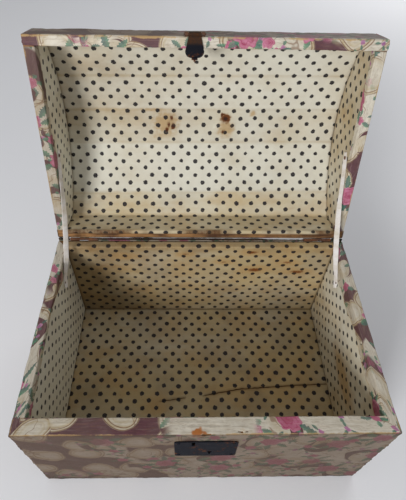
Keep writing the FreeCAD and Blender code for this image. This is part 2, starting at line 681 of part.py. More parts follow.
def make_handle_bail():
    """Wire bail that hangs plumb from its eyes while the lid is open."""
    pivot = open_point(Vector(HANDLE_X, 0, EYE_Z))
    eye = HANDLE_SPAN / 2
    leg = eye - EYE_WIRE - BAIL_WIRE - BAIL_SHOULDER
    mid = math.sqrt(0.5)

    def at(across, drop):
        return Vector(pivot.x + across, pivot.y, pivot.z - drop)

    def half(side):
        shoulder = [at(side * (leg + BAIL_SHOULDER), 0),
                    at(side * (leg + BAIL_SHOULDER * (1 - mid)), BAIL_SHOULDER * (1 - mid)),
                    at(side * leg, BAIL_SHOULDER)]
        bend = [at(side * leg, BAIL_DROP - BAIL_BEND),
                at(side * (leg - BAIL_BEND * (1 - mid)), BAIL_DROP - BAIL_BEND * (1 - mid)),
                at(side * (leg - BAIL_BEND), BAIL_DROP)]
        stub = at(side * (eye + BAIL_STUB), 0)
        return stub, shoulder, bend

    left_stub, left_shoulder, left_bend = half(-1)
    right_stub, right_shoulder, right_bend = half(1)
    path = Part.Wire([
        Part.LineSegment(left_stub, left_shoulder[0]).toShape(),
        Part.Arc(*left_shoulder).toShape(),
        Part.LineSegment(left_shoulder[2], left_bend[0]).toShape(),
        Part.Arc(*left_bend).toShape(),
        Part.LineSegment(left_bend[2], right_bend[2]).toShape(),
        Part.Arc(*reversed(right_bend)).toShape(),
        Part.LineSegment(right_bend[0], right_shoulder[2]).toShape(),
        Part.Arc(*reversed(right_shoulder)).toShape(),
        Part.LineSegment(right_shoulder[0], right_stub).toShape(),
    ])
    section = Part.Wire(Part.makeCircle(BAIL_WIRE, left_stub, Vector(1, 0, 0)))
    bail = path.makePipeShell([section], True, False)
    for stub, way in ((left_stub, -1), (right_stub, 1)):
        bail = bail.fuse(rod(BAIL_HEAD, stub, stub + Vector(way * BAIL_HEAD_LENGTH, 0, 0)))
    return bail.removeSplitter()


# Stays
def make_stay(side, tacks):
    """Flat tape from the box tack to the lid tack of the open lid, with a short tail past each."""
    box_end, lid_end = stay_ends()
    lid_end = open_point(lid_end)
    along = lid_end.sub(box_end).normalize()
    across = Vector(0, -along.z, along.y) * (STAY_WIDTH / 2)
    tail = along * STAY_TAIL
    outer = Vector(side * STAY_X, 0, 0)
    low = box_end - tail + outer
    high = lid_end + tail + outer
    corners = [low - across, high - across, high + across, low + across, low - across]
    tape = Part.Face(Part.makePolygon(corners)).extrude(Vector(-side * STAY_THICK, 0, 0))
    return tape.cut(tacks)


def build():
    """All pieces by name, with the lid and what it carries swung open."""
    body_nails = make_body_nails()
    bottom_nails = make_bottom_nails()
    lid_corner_nails = make_lid_corner_nails()
    dome_nails = make_dome_nails()
    box_hinge_nails = make_hinge_pins(-1)
    lid_hinge_nails = make_hinge_pins(1)
    hasp_nails = make_hasp_pins()
    lock_pins = make_lock_pins()
    box_end, lid_end = stay_ends()
    box_tacks = make_stay_tacks(box_end)
    lid_tacks = make_stay_tacks(lid_end)
    open_tacks = [open_lid(tack) for tack in lid_tacks]
    handle_places = {name: HANDLE_X + side * HANDLE_SPAN / 2 for name, side in SIDES.items()}
    eyes = {name: make_handle_eye(place) for name, place in handle_places.items()}
    washers = [make_handle_washer(place).cut(eyes[name]) for name, place in handle_places.items()]
    eye_list = list(eyes.values())

    fixed = make_box_boards(body_nails + bottom_nails + box_hinge_nails + lock_pins + box_tacks)
    fixed["body_nails"] = Part.makeCompound(body_nails)
    fixed["bottom_nails"] = Part.makeCompound(bottom_nails)
    fixed["body_covering"] = make_body_covering(box_hinge_nails + lock_pins)
    fixed.update(make_box_linings(box_tacks))
    fixed["lock_plate"] = make_lock_plate(lock_pins)
    fixed["lock_case"] = make_lock_case()
    fixed["lock_spring"] = make_lock_spring()
    fixed["lock_bolt"] = make_lock_bolt()
    fixed["lock_pins"] = Part.makeCompound(lock_pins)
    fixed["hinge_box_nails"] = Part.makeCompound(box_hinge_nails)
    fixed["stay_box_tacks"] = Part.makeCompound(box_tacks)

    lid = make_lid_boards(lid_corner_nails + dome_nails + lid_hinge_nails + hasp_nails + lid_tacks + eye_list)
    lid["lid_corner_nails"] = Part.makeCompound(lid_corner_nails)
    lid["dome_nails"] = Part.makeCompound(dome_nails)
    lid.update(make_lid_coverings(lid_hinge_nails + hasp_nails + eye_list))
    lid.update(make_lid_linings(lid_tacks + eye_list))
    lid["hinge_lid_nails"] = Part.makeCompound(lid_hinge_nails)
    lid["hasp_leaf"] = make_hasp_leaf(hasp_nails)
    lid["hasp_leaf_nails"] = Part.makeCompound(hasp_nails)
    lid["handle_washers"] = Part.makeCompound(washers)
    lid["stay_lid_tacks"] = Part.makeCompound(lid_tacks)

    for name, side in SIDES.items():
        middle = side * HINGE_X
        fixed[name + "_hinge_box_leaf"] = make_hinge_leaf(middle, -1, box_hinge_nails)
        fixed[name + "_hinge_pin"] = make_hinge_pin(middle)
        fixed[name + "_lid_stay"] = make_stay(side, box_tacks + open_tacks)
        lid[name + "_hinge_lid_leaf"] = make_hinge_leaf(middle, 1, lid_hinge_nails)
        lid[name + "_handle_eye"] = eyes[name]

    # While the lid is open the hasp lies across the rim, folded in from where it latches
    lid["hasp_pin"] = rod(HASP_PIN, *hasp_axis(HASP_LEAF_WIDTH / 2 + PIN_CROWN))
    for name, piece in (("hasp_tongue", make_hasp_tongue()), ("hasp_staple", make_hasp_staple())):
        piece.rotate(hasp_axis(0)[0], Vector(1, 0, 0), HASP_FOLD)
        lid[name] = piece

    pieces = dict(fixed)
    pieces.update({name: open_lid(piece) for name, piece in lid.items()})
    pieces["handle_bail"] = make_handle_bail()
    return pieces


def main():
    """Build every piece and write one file each."""
    os.makedirs("parts", exist_ok=True)
    for name, piece in build().items():
        piece.exportStep("parts/" + name + ".step")
        print(name, len(piece.Solids), piece.isValid(), round(piece.Volume, 1))
    box_end, lid_end = stay_ends()
    print("stay between its tacks", round(open_point(lid_end).sub(box_end).Length, 1))
    print("hinge", HINGE_X, HINGE_Y, HINGE_Z, "hasp", open_point(hasp_axis(0)[0]))
    print("bail", open_point(Vector(HANDLE_X, 0, EYE_Z)), "dome radius", round(DOME_RADIUS, 1))


main()
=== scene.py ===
"""Looks of a dome top trunk: printed cloth outside, dotted paper inside, cotton tapes and rusty fittings.

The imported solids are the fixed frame. Cloth, paper and tapes are surfaces worked out here from the same
sizes, and the boards and fittings keep their shapes and get their finishes. Metres; the front is -Y.
"""

import json
import math

import bpy
import numpy as np
from mathutils import Matrix, Vector


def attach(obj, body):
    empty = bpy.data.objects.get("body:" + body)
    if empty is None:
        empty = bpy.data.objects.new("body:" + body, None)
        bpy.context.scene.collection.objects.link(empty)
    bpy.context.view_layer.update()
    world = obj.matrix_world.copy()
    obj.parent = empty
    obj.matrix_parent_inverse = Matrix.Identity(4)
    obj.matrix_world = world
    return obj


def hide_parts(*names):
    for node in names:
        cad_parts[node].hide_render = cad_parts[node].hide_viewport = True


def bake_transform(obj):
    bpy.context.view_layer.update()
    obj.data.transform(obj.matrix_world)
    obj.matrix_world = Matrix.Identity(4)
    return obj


bl_info = {
    "name": "Dome top trunk",
    "version": (1, 0, 0),
    "blender": (4, 5, 0),
    "location": "View3D > Sidebar > Trunk",
    "description": "Cloth, paper, tapes and finishes of a dome top trunk round its packed solids",
    "category": "Object",
}

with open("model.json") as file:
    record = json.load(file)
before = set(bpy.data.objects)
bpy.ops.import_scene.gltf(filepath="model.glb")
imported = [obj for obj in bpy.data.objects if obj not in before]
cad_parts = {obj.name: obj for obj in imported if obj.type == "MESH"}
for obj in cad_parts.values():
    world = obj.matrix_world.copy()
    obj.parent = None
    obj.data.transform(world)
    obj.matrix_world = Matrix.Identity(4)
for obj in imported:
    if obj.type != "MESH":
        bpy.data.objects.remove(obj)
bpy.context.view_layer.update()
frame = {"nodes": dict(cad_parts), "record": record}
SIDES = {"left": -1, "right": 1}
MM = 0.001

# Route of a tape from below its box tack to above its lid tack: offset towards the wall, depth and height
TAPE_ROUTE = ((-0.0014, 0.06534, 0.12424), (-0.0004, 0.07080, 0.13134), (-0.0030, 0.08600, 0.15110),
              (-0.0036, 0.11200, 0.18490), (-0.0024, 0.13400, 0.21354), (-0.0002, 0.15500, 0.24085),
              (0.0, 0.16495, 0.25380))

# Ridges along the front rim in millimetres: start, end and height
CREASES = (((-26, -108.8), (36, -109.6), 0.5),
           ((30, -109.4), (52, -112.4), 0.4),
           ((-60, -104.6), (20, -105.4), 0.35),
           ((-150, -105), (-96, -104), 0.3),
           ((98, -106), (140, -112), 0.35))

# Axis of the hasp's hinge in the open lid, in millimetres along Y and Z
HASP_PIVOT = (177.8, 381.9)

# Marks on the cloth of the box's front in metres: a rusty spot and a rubbed patch on the rim along X and Y,
# dirt round the lock along X and Z, and the middle and half length along X of the rim without print
RUST_SPOT = (-0.008, -0.1138)
RUBBED_PATCH = (0.036, -0.111)
LOCK_DIRT = (-0.005, 0.11)
PLAIN_X = 0.005
PLAIN_HALF = 0.036

# Opening in the cloth behind the lock plate in metres: height of its middle, then its half sizes
PLATE_Z = 0.1155
PLATE_CUT = (0.024, 0.019)

# Holes rubbed through the cloth in metres: centre and half sizes
HOLES = (((0.0000, -0.1156, 0.1524), (0.0050, 0.0012, 0.0016)),
         ((0.0310, -0.1132, 0.1530), (0.0024, 0.0008, 0.0015)),
         ((0.0360, -0.1130, 0.1530), (0.0020, 0.0007, 0.0015)))

# Stains on the walls in millimetres: place from the middle, height, size, then strength
WALL_STAINS = {"back": ((72, 96, 5, 0.9), (64, 132, 4, 0.8), (128, 92, 5, 0.8), (112, 112, 4, 0.7),
                        (-20, 128, 3, 0.6), (30, 112, 3, 0.6), (-96, 124, 4, 0.5)),
               "right_end": ((30, 60, 8, 0.4),)}

# Paper on the walls: seed of its unevenness, its age, its even dirt, and the painted shade added towards its
# left side
WALLS = {"back": (71, 0.84, 0.24, 0.55), "front": (72, 0.7, 0.16, 0), "left_end": (73, 0.0, 0.03, 0),
         "right_end": (74, 0.40, 0.12, 0)}

# Frayed lip of the cloth along the box's back edge: its height, half the length that it leaves free for a
# hinge, and the middle and half length along X of a slit where it is lower
LIP_HEIGHT = 5.2 * MM
HINGE_CUT = 17.6 * MM
SLIT_X = 104 * MM
SLIT_HALF = 20 * MM

# Clinched legs of the handle's eyes under the dome's paper: places along X in millimetres, and the bearing
LEG_PLACES = (-42, 28)
LEG_BEARING = -0.6

# Stains in the dome: place along X in millimetres and round the dome in degrees, half sizes, core and halo
LID_STAINS = ((-45, -2.0, 15, 4.6, 0, 0.85), (-60, -7.6, 16, 0.7, 0, 0.7), (-48, 3.6, 16, 1.4, 0, 0.55),
              (-38, -4.2, 1.8, 1.3, 1.1, 0), (-41.5, -1.4, 2.0, 1.3, 1.1, 0),
              (-36.0, -0.6, 2.6, 1.6, 1.3, 0.6), (-44, 1.2, 2.2, 1.5, 1.15, 0),
              (-34, -3.0, 4, 2.2, 0.45, 0.7), (29, -4.0, 6.0, 2.1, 1.25, 0.9),
              (24.5, -5.6, 2.2, 1.2, 1.0, 0.5), (30, 0.4, 9, 3.4, 0.35, 0.95), (26, 1.8, 2.4, 0.9, 0.9, 0.4),
              (36, -0.8, 4, 1.5, 0.6, 0.8), (62, -6.5, 4, 1.2, 0.3, 0.8))

# Folds of the dome's paper in degrees round the dome, and the upper edge of the strip along its back
FOLDS = (-23, -8, 6.3)
STRIP = 28.1

# Brown patches at the foot of the dome's paper, along X in millimetres: middle and half width
FOOT_PATCHES = ((-128, 26), (2, 10), (160, 6))

# Split in the floor's paper in millimetres: its course along X and Y, then its width along X
SPLIT_COURSE = ((-167, -30.2), (-60, -31.6), (-51, -32), (-20, -28.4), (6, -25), (51, -17.2), (103, -14),
                (140, -11.6), (167, -10.4))
SPLIT_WIDTH = ((-54, 0), (-48, 0.7), (-24, 0.9), (-18, 0), (2, 0), (8, 1.0), (50, 1.5), (100, 1.2),
               (140, 0.9), (163, 0.8), (167, 0.8))

# Cloth turned in on the box's ends: places from the front (-1) to the back (1), and millimetres down there
LEFT_TURN_IN = ((-1, -0.5, 0.1, 0.35, 0.6, 1), (14, 9, 2.5, 5, 15, 16))
RIGHT_TURN_IN = ((-1, -0.6, -0.1, 0.3, 0.7, 1), (19, 17, 12, 15, 19, 15))

# Distance of the tapes from the middle, their largest turn in degrees, and shares of that turn along the run
TAPE_X = 0.1658
TAPE_TURN = 52
TAPE_TWIST = ((0, 0.10, 0.24, 0.50, 0.70, 1), (0.5, 0.4, 1, 0.9, 0.45, 0.3))

# Place on the roll in metres where the floor's and the dome's paper were cut, and the dome's slant on it
FLOOR_CUT = (0.212, 0.118)
DOME_CUT = (0.1735, 0.0043)
DOME_SLANT = 0.012

# Thickness of the cloth, of the paper on the box's walls and of the other paper
CLOTH_THICK = 0.5 * MM
WALL_PAPER_THICK = 0.35 * MM
PAPER_THICK = 0.3 * MM

# Lamps: place and target in metres, side in metres, and power in watts
LAMPS = {"key_lamp": ((-0.92, -1.50, 0.96), (0, 0.1, 0.22), 0.55, 27.0),
         "back_lamp": ((0.9, 1.5, 0.8), (0, 0.1, 0.2), 1.2, 8.0)}

# Camera that the photograph's corners give: place in metres, yaw, pitch and roll in degrees, focal length and
# larger side of the picture in pixels, and the picture's shift
CAMERA_PLACE = (-0.0211, -0.2409, 0.5638)
CAMERA_TURN = (2.13, 48.45, 1.82)
CAMERA_FOCAL = 434.4
CAMERA_PIXELS = 500
CAMERA_SHIFT = (0.0154, -0.0272)


def linear(red, green, blue):
    """Colour written as 0 to 255 on a screen, as the linear values that a shader takes."""
    screen = np.array((red, green, blue)) / 255
    low = screen / 12.92
    high = ((screen + 0.055) / 1.055) ** 2.4
    return tuple(float(value) for value in np.where(screen <= 0.04045, low, high))


def length(name, description, default):
    """Property for a length in metres."""
    return bpy.props.FloatProperty(name=name, description=description, default=default, min=0, precision=5,
                                   unit="LENGTH")


def colour(name, description, red, green, blue):
    """Property for a colour, given as it looks on a screen."""
    return bpy.props.FloatVectorProperty(name=name, description=description, size=3, min=0, max=1,
                                         subtype="COLOR", default=linear(red, green, blue))


class TrunkSizes(bpy.types.PropertyGroup):
    """Sizes of the trunk that its cloth, paper and tapes follow."""

    width: length("Width", "Width over the cloth", 0.356)
    depth: length("Depth", "Depth over the cloth", 0.232)
    box_height: length("Box height", "Height of the box's rim", 0.153)
    lid_side: length("Lid side", "Height of the lid's upright sides", 0.038)
    lid_crown: length("Lid crown", "Height of the lid at its crown", 0.082)
    lid_gap: length("Lid gap", "Gap between the two rims when shut", 0.0004)
    lid_open: bpy.props.FloatProperty(name="Lid open", description="Angle at which the tapes hold the lid",
                                      default=math.radians(105), subtype="ANGLE")
    hinge_standoff: length("Hinge standoff", "Distance of the hinge axis behind the back", 0.0018)
    hinge_in: length("Hinge inset", "Distance of a hinge's middle from the end", 0.032)
    front_board: length("Front board", "Thickness of the front board", 0.0152)
    wall_board: length("Wall board", "Thickness of the other walls", 0.010)
    lid_board: length("Lid board", "Thickness of the lid's front and back boards", 0.009)
    floor_board: length("Floor board", "Thickness of the bottom", 0.011)
    dome_sheet: length("Dome sheet", "Thickness of the bent sheet", 0.005)
    cloth: length("Cloth", "Room that the cloth takes", 0.0008)
    paper: length("Paper", "Room that the paper takes", 0.0008)
    turn_in: length("Turn-in", "Depth to which the cloth is turned in at the rims", 0.015)
    dot_pitch: length("Dot pitch", "Distance between dots along a row", 0.0184)
    dot_row: length("Dot row", "Distance between two rows of dots", 0.0092)
    dot_size: length("Dot size", "Diameter of a dot", 0.0052)
    tape_width: length("Tape width", "Width of a lid stay", 0.0065)
    tape_thick: length("Tape thickness", "Thickness of a lid stay", 0.0008)


class TrunkColours(bpy.types.PropertyGroup):
    """Colours of the trunk's finishes."""

    paper: colour("Paper", "Clean lining paper", 229, 227, 213)
    paper_aged: colour("Aged paper", "Yellowed lining paper", 190, 170, 128)
    paper_tan: colour("Tan paper", "Old damp in the paper", 190, 158, 108)
    paper_stain: colour("Paper stain", "Rust stain in the paper", 122, 70, 26)
    dot: colour("Dot", "Ink of the dots", 27, 23, 30)
    ground: colour("Cloth ground", "Cream ground of the print", 224, 217, 201)
    scroll: colour("Scroll shade", "Tan shading of the scrolls", 196, 179, 144)
    maroon: colour("Maroon", "Dark ground between the scrolls", 84, 36, 54)
    rose: colour("Rose", "Pale petals", 219, 146, 176)
    rose_deep: colour("Deep rose", "Dark petals", 168, 46, 98)
    lilac: colour("Lilac", "Small blossoms", 150, 92, 150)
    leaf: colour("Leaf", "Green leaves", 76, 146, 110)
    leaf_deep: colour("Deep leaf", "Teal leaves", 36, 92, 90)
    twig: colour("Twig", "Brown lines of the print", 128, 92, 66)
    varnish: colour("Varnish", "Yellowed and rubbed edges", 194, 160, 108)
    orange: colour("Orange rust", "Fresh rust in the cloth", 178, 106, 46)
    # Also the veil of painted shade on the cloth
    dust_and_shade: colour("Dust", "Grey-brown dirt on the outside", 122, 104, 80)
    wood: colour("Wood", "Old softwood", 156, 114, 70)
    wood_dark: colour("Dark wood", "Stained grain", 74, 46, 27)
    japan: colour("Black finish", "Black lacquer on the lock and hasp", 18, 19, 25)
    rust: colour("Rust", "Rust on the fittings", 112, 66, 34)
    rust_dark: colour("Dark rust", "Old dark iron", 52, 40, 33)
    tape: colour("Tape", "Cotton tape", 240, 236, 234)
    floor: colour("Floor", "Floor that the trunk stands on", 240, 240, 243)


class Planes:
    """Planes and radii that the pieces share, from the sizes."""

    def __init__(self, sizes):
        self.half_width = sizes.width / 2
        self.half_depth = sizes.depth / 2
        self.board_x = self.half_width - sizes.cloth
        self.board_y = self.half_depth - sizes.cloth
        self.inner_x = self.board_x - sizes.wall_board
        self.front_y = -self.board_y + sizes.front_board
        self.back_y = self.board_y - sizes.wall_board
        self.top = sizes.box_height
        self.floor = sizes.floor_board + sizes.paper
        self.rim = sizes.box_height + sizes.lid_gap
        self.lid_y = self.board_y - sizes.lid_board
        self.shoulder = self.rim + sizes.lid_side
        self.crown = self.rim + sizes.lid_crown
        rise = sizes.lid_crown - sizes.lid_side
        self.radius = (self.half_depth ** 2 + rise ** 2) / (2 * rise)
        self.dome_z = self.crown - self.radius
        self.lift = 0.6 * sizes.paper
        self.paper_radius = self.radius - sizes.cloth - sizes.dome_sheet - 0.05 * MM - sizes.paper
        self.hinge_y = self.half_depth + sizes.hinge_standoff
        self.hinge_z = sizes.box_height + sizes.lid_gap / 2
        self.hinge_x = self.half_width - sizes.hinge_in
        self.open = sizes.lid_open

    def swing(self, points):
        """Turn points of the shut lid back about the hinge axis by the open angle."""
        cosine, sine = math.cos(-self.open), math.sin(-self.open)
        y = points[..., 1] - self.hinge_y
        z = points[..., 2] - self.hinge_z
        return np.stack((points[..., 0], self.hinge_y + y * cosine - z * sine,
                         self.hinge_z + y * sine + z * cosine), -1)


# Surfaces
def spaced(*places):
    """Stations along a line: pairs of a place and the step used from it on, ending with a bare place."""
    rows = []
    for (start, step), after in zip(places[:-1], places[1:]):
        end = after[0] if isinstance(after, tuple) else after
        count = max(1, int(round(abs(end - start) / step)))
        rows.append(np.linspace(start, end, count, endpoint=False))
    return np.concatenate(rows + [[places[-1]]])


def ripple(seed, u, v, wave, count=9):
    """Smooth unevenness between about -1 and 1: the sum of plane waves with seeded directions and phases."""
    draw = np.random.default_rng(seed)
    way = draw.uniform(0, 2 * math.pi, count)
    pace = 2 * math.pi / (wave * draw.uniform(0.6, 1.5, count))
    phase = draw.uniform(0, 2 * math.pi, count)
    travel = u[..., None] * np.cos(way) + v[..., None] * np.sin(way)
    return np.sin(travel * pace + phase).sum(-1) / math.sqrt(2 * count)


def waves(u, v, *rows):
    """Sum of ripples: each row is a seed with a height and a wave in millimetres."""
    return sum(height * MM * ripple(seed, u, v, wave * MM) for seed, height, wave in rows)


def torn(line, *rows):
    """Raggedness of an edge along a line, as a sum of ripples."""
    return waves(line, line * 0, *rows)


def bump(distance, reach):
    """Bell that is 1 at a distance of nought and fades over the reach."""
    return np.exp(-(distance / reach) ** 2)


def plateau(x, middle, half, reach):
    """Bell with a flat top: 1 as far as half a length from the middle, and fading over the reach past it."""
    return bump(np.maximum(np.abs(x - middle) - half, 0), reach)


def seam_dirt_and_shade(edge):
    """Dirt gathered along the edges of a sheet of paper, in the trunk's corners, with painted shade there,
    from the distance to the edge.
    """
    return 0.24 * bump(edge, 2.6 * MM)


def to_line(u, v, start, end):
    """Distance of each point of the flat cloth from a straight crease, and its place along it from 0 to 1."""
    run_u, run_v = end[0] - start[0], end[1] - start[1]
    share = ((u - start[0]) * run_u + (v - start[1]) * run_v) / (run_u ** 2 + run_v ** 2)
    near = np.clip(share, 0, 1)
    return np.hypot(u - start[0] - near * run_u, v - start[1] - near * run_v), near


def normals(points, closed):
    """Unit normals of a grid: the cross product of the differences along its columns and its rows."""
    along = np.roll(points, -1, 1) - np.roll(points, 1, 1) if closed else np.gradient(points, axis=1)
    cross = np.cross(along, np.gradient(points, axis=0))
    return cross / np.maximum(np.linalg.norm(cross, axis=-1, keepdims=True), 1e-12)


def gather(*parts):
    """Points of a grid from their coordinates, of which some may be given for its rows or columns alone."""
    return np.stack(np.broadcast_arrays(*parts), -1)


def run_along(points):
    """Run from the first point on, along a line or along each column of a grid."""
    steps = np.linalg.norm(np.diff(points, axis=0), axis=-1)
    return np.concatenate((np.zeros_like(steps[:1]), np.cumsum(steps, 0)))


def soften(line, step, reach):
    """Even steps along a polyline, then a moving bell average over the reach, which rounds its corners."""
    run = run_along(line)
    even = np.linspace(0, run[-1], int(run[-1] / step) + 1)
    points = np.stack([np.interp(even, run, line[:, axis]) for axis in range(line.shape[1])], 1)
    weight = bump(even[:, None] - even[None, :], reach * math.sqrt(2))
    mirrored = bump(even[:, None] + even[None, :], reach * math.sqrt(2))
    mirrored_end = bump(2 * even[-1] - even[:, None] - even[None, :], reach * math.sqrt(2))
    first, last = 2 * points[:1], 2 * points[-1:]
    total = weight.sum(1) + mirrored.sum(1) + mirrored_end.sum(1)
    mixed = weight @ points + mirrored @ (first - points) + mirrored_end @ (last - points)
    return mixed / total[:, None]


def add_object(name, data):
    """New object in the scene."""
    made = bpy.data.objects.new(name, data)
    bpy.context.scene.collection.objects.link(made)
    return made


def add_surface(name, points, flat, marks, keep=None, closed=False, turned=False):
    """Mesh of quads through a grid of points.

    flat gives each point's place on the uncut sheet, in metres, as the UV map; marks are named numbers per
    point; keep says which quads stay; closed joins the last column to the first, and flat then has one
    column more than the points; turned flips the faces.
    """
    rows, columns = points.shape[:2]
    ids = np.arange(rows * columns).reshape(rows, columns)
    if closed:
        ids = np.concatenate((ids, ids[:, :1]), 1)
    corner_slices = [(slice(None, -1), slice(None, -1)), (slice(None, -1), slice(1, None)),
                     (slice(1, None), slice(1, None)), (slice(1, None), slice(None, -1))]
    if turned:
        corner_slices.reverse()
    quads = np.stack([ids[part] for part in corner_slices], -1).reshape(-1, 4)
    flats = np.stack([flat[part] for part in corner_slices], -2).reshape(-1, 4, 2)
    spots = points.reshape(-1, 3)
    across = np.linalg.norm(np.cross(spots[quads[:, 2]] - spots[quads[:, 0]],
                                     spots[quads[:, 3]] - spots[quads[:, 1]]), axis=1)
    stays = across > 1e-10
    if keep is not None:
        stays &= keep.reshape(-1)
    quads, flats = quads[stays], flats[stays]
    used, quads = np.unique(quads, return_inverse=True)
    quads = quads.reshape(-1, 4)
    mesh = bpy.data.meshes.new(name)
    mesh.from_pydata(spots[used].tolist(), [], quads.tolist())
    layer = mesh.uv_layers.new(name="sheet")
    layer.data.foreach_set("uv", flats.astype(np.float32).ravel())
    for mark, values in marks.items():
        attribute = mesh.attributes.new(mark, "FLOAT", "POINT")
        spread = np.broadcast_to(values, (rows, columns)).ravel()[used]
        attribute.data.foreach_set("value", spread.astype(np.float32))
    mesh.polygons.foreach_set("use_smooth", np.ones(len(quads), bool))
    mesh.update()
    return add_object(name, mesh)


def finish_sheet(piece, body, node, slot, thick):
    """Give a cloth or paper surface its thickness and finish, and let it replace its solid on its body."""
    solid = piece.modifiers.new("Thickness", "SOLIDIFY")
    solid.thickness = thick
    solid.offset = -1
    piece.data.materials.append(finish_named(slot))
    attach(piece, body)
    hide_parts(node)


def faces(normal, axis, side):
    """Stations whose outward normal points mainly to one side along an axis."""
    return side * normal[:, axis] > 0.7


def worn_away(points, holes, seed):
    """Quads that stay where ragged holes are rubbed through: each hole is a ball or egg with a wavy edge."""
    middle = (points[:-1, :-1] + points[1:, 1:]) / 2
    stays = np.ones(middle.shape[:2], bool)
    wavy = 1 + 0.35 * ripple(seed, middle[..., 0], middle[..., 1] + middle[..., 2], 5 * MM)
    for centre, size in holes:
        stays &= (((middle - np.array(centre)) / np.array(size)) ** 2).sum(-1) > wavy
    return stays


# Finishes
def plug(tree, socket, value):
    """Lead a field to a socket, or write a constant on it."""
    if isinstance(value, Field):
        tree.links.new(value.socket, socket)
    else:
        socket.default_value = value


def arithmetic(operation, turned=False):
    """Method of a field for one arithmetic operation; turned puts the field last."""
    def method(self, *others):
        return self.math(operation, *others, self) if turned else self.math(operation, self, *others)
    return method


class Field:
    """Number or vector that varies over a surface: a socket of a finish's nodes, with arithmetic."""

    def __init__(self, tree, socket):
        self.tree = tree
        self.socket = socket

    def math(self, operation, *values):
        """Result of one arithmetic operation."""
        node = self.tree.nodes.new("ShaderNodeMath")
        node.operation = operation
        for socket, value in zip(node.inputs, values):
            plug(self.tree, socket, value)
        return Field(self.tree, node.outputs[0])

    __add__ = arithmetic("ADD")
    __radd__ = arithmetic("ADD", turned=True)
    __sub__ = arithmetic("SUBTRACT")
    __rsub__ = arithmetic("SUBTRACT", turned=True)
    __mul__ = arithmetic("MULTIPLY")
    __rmul__ = arithmetic("MULTIPLY", turned=True)
    __truediv__ = arithmetic("DIVIDE")
    __abs__ = arithmetic("ABSOLUTE")
    floor = arithmetic("FLOOR")
    fract = arithmetic("FRACT")
    sine = arithmetic("SINE")
    cosine = arithmetic("COSINE")
    power = arithmetic("POWER")
    larger = arithmetic("MAXIMUM")
    bearing = arithmetic("ARCTAN2")

    def above(self, edge, soft=0.0001):
        """0 below the edge and 1 above it, with a soft step."""
        if isinstance(edge, Field):
            return (self - edge).above(0.0, soft)
        node = self.tree.nodes.new("ShaderNodeMapRange")
        node.interpolation_type = "SMOOTHSTEP"
        for socket, value in zip(node.inputs, (self, edge - soft, edge + soft)):
            plug(self.tree, socket, value)
        return Field(self.tree, node.outputs[0])

    def below(self, edge, soft=0.0001):
        """1 below the edge and 0 above it, with a soft step."""
        return 1.0 - self.above(edge, soft)

    def parts(self):
        """The numbers of a vector."""
        node = self.tree.nodes.new("ShaderNodeSeparateXYZ")
        plug(self.tree, node.inputs[0], self)
        return [Field(self.tree, socket) for socket in node.outputs]

    def blend(self, kind, share, first, second):
        """Result of blending two colours."""
        node = self.tree.nodes.new("ShaderNodeMix")
        node.data_type = "RGBA"
        node.blend_type = kind
        plug(self.tree, node.inputs[0], share)
        for socket, value in zip(node.inputs[6:8], (first, second)):
            plug(self.tree, socket, value if isinstance(value, Field) else (*value, 1))
        return Field(self.tree, node.outputs[2])

    def mix(self, first, second):
        """Colour that goes from the first to the second as this number goes from 0 to 1."""
        return self.blend("MIX", self, first, second)

    def times(self, tint):
        """This colour multiplied by another one."""
        return self.blend("MULTIPLY", 1, self, tint)


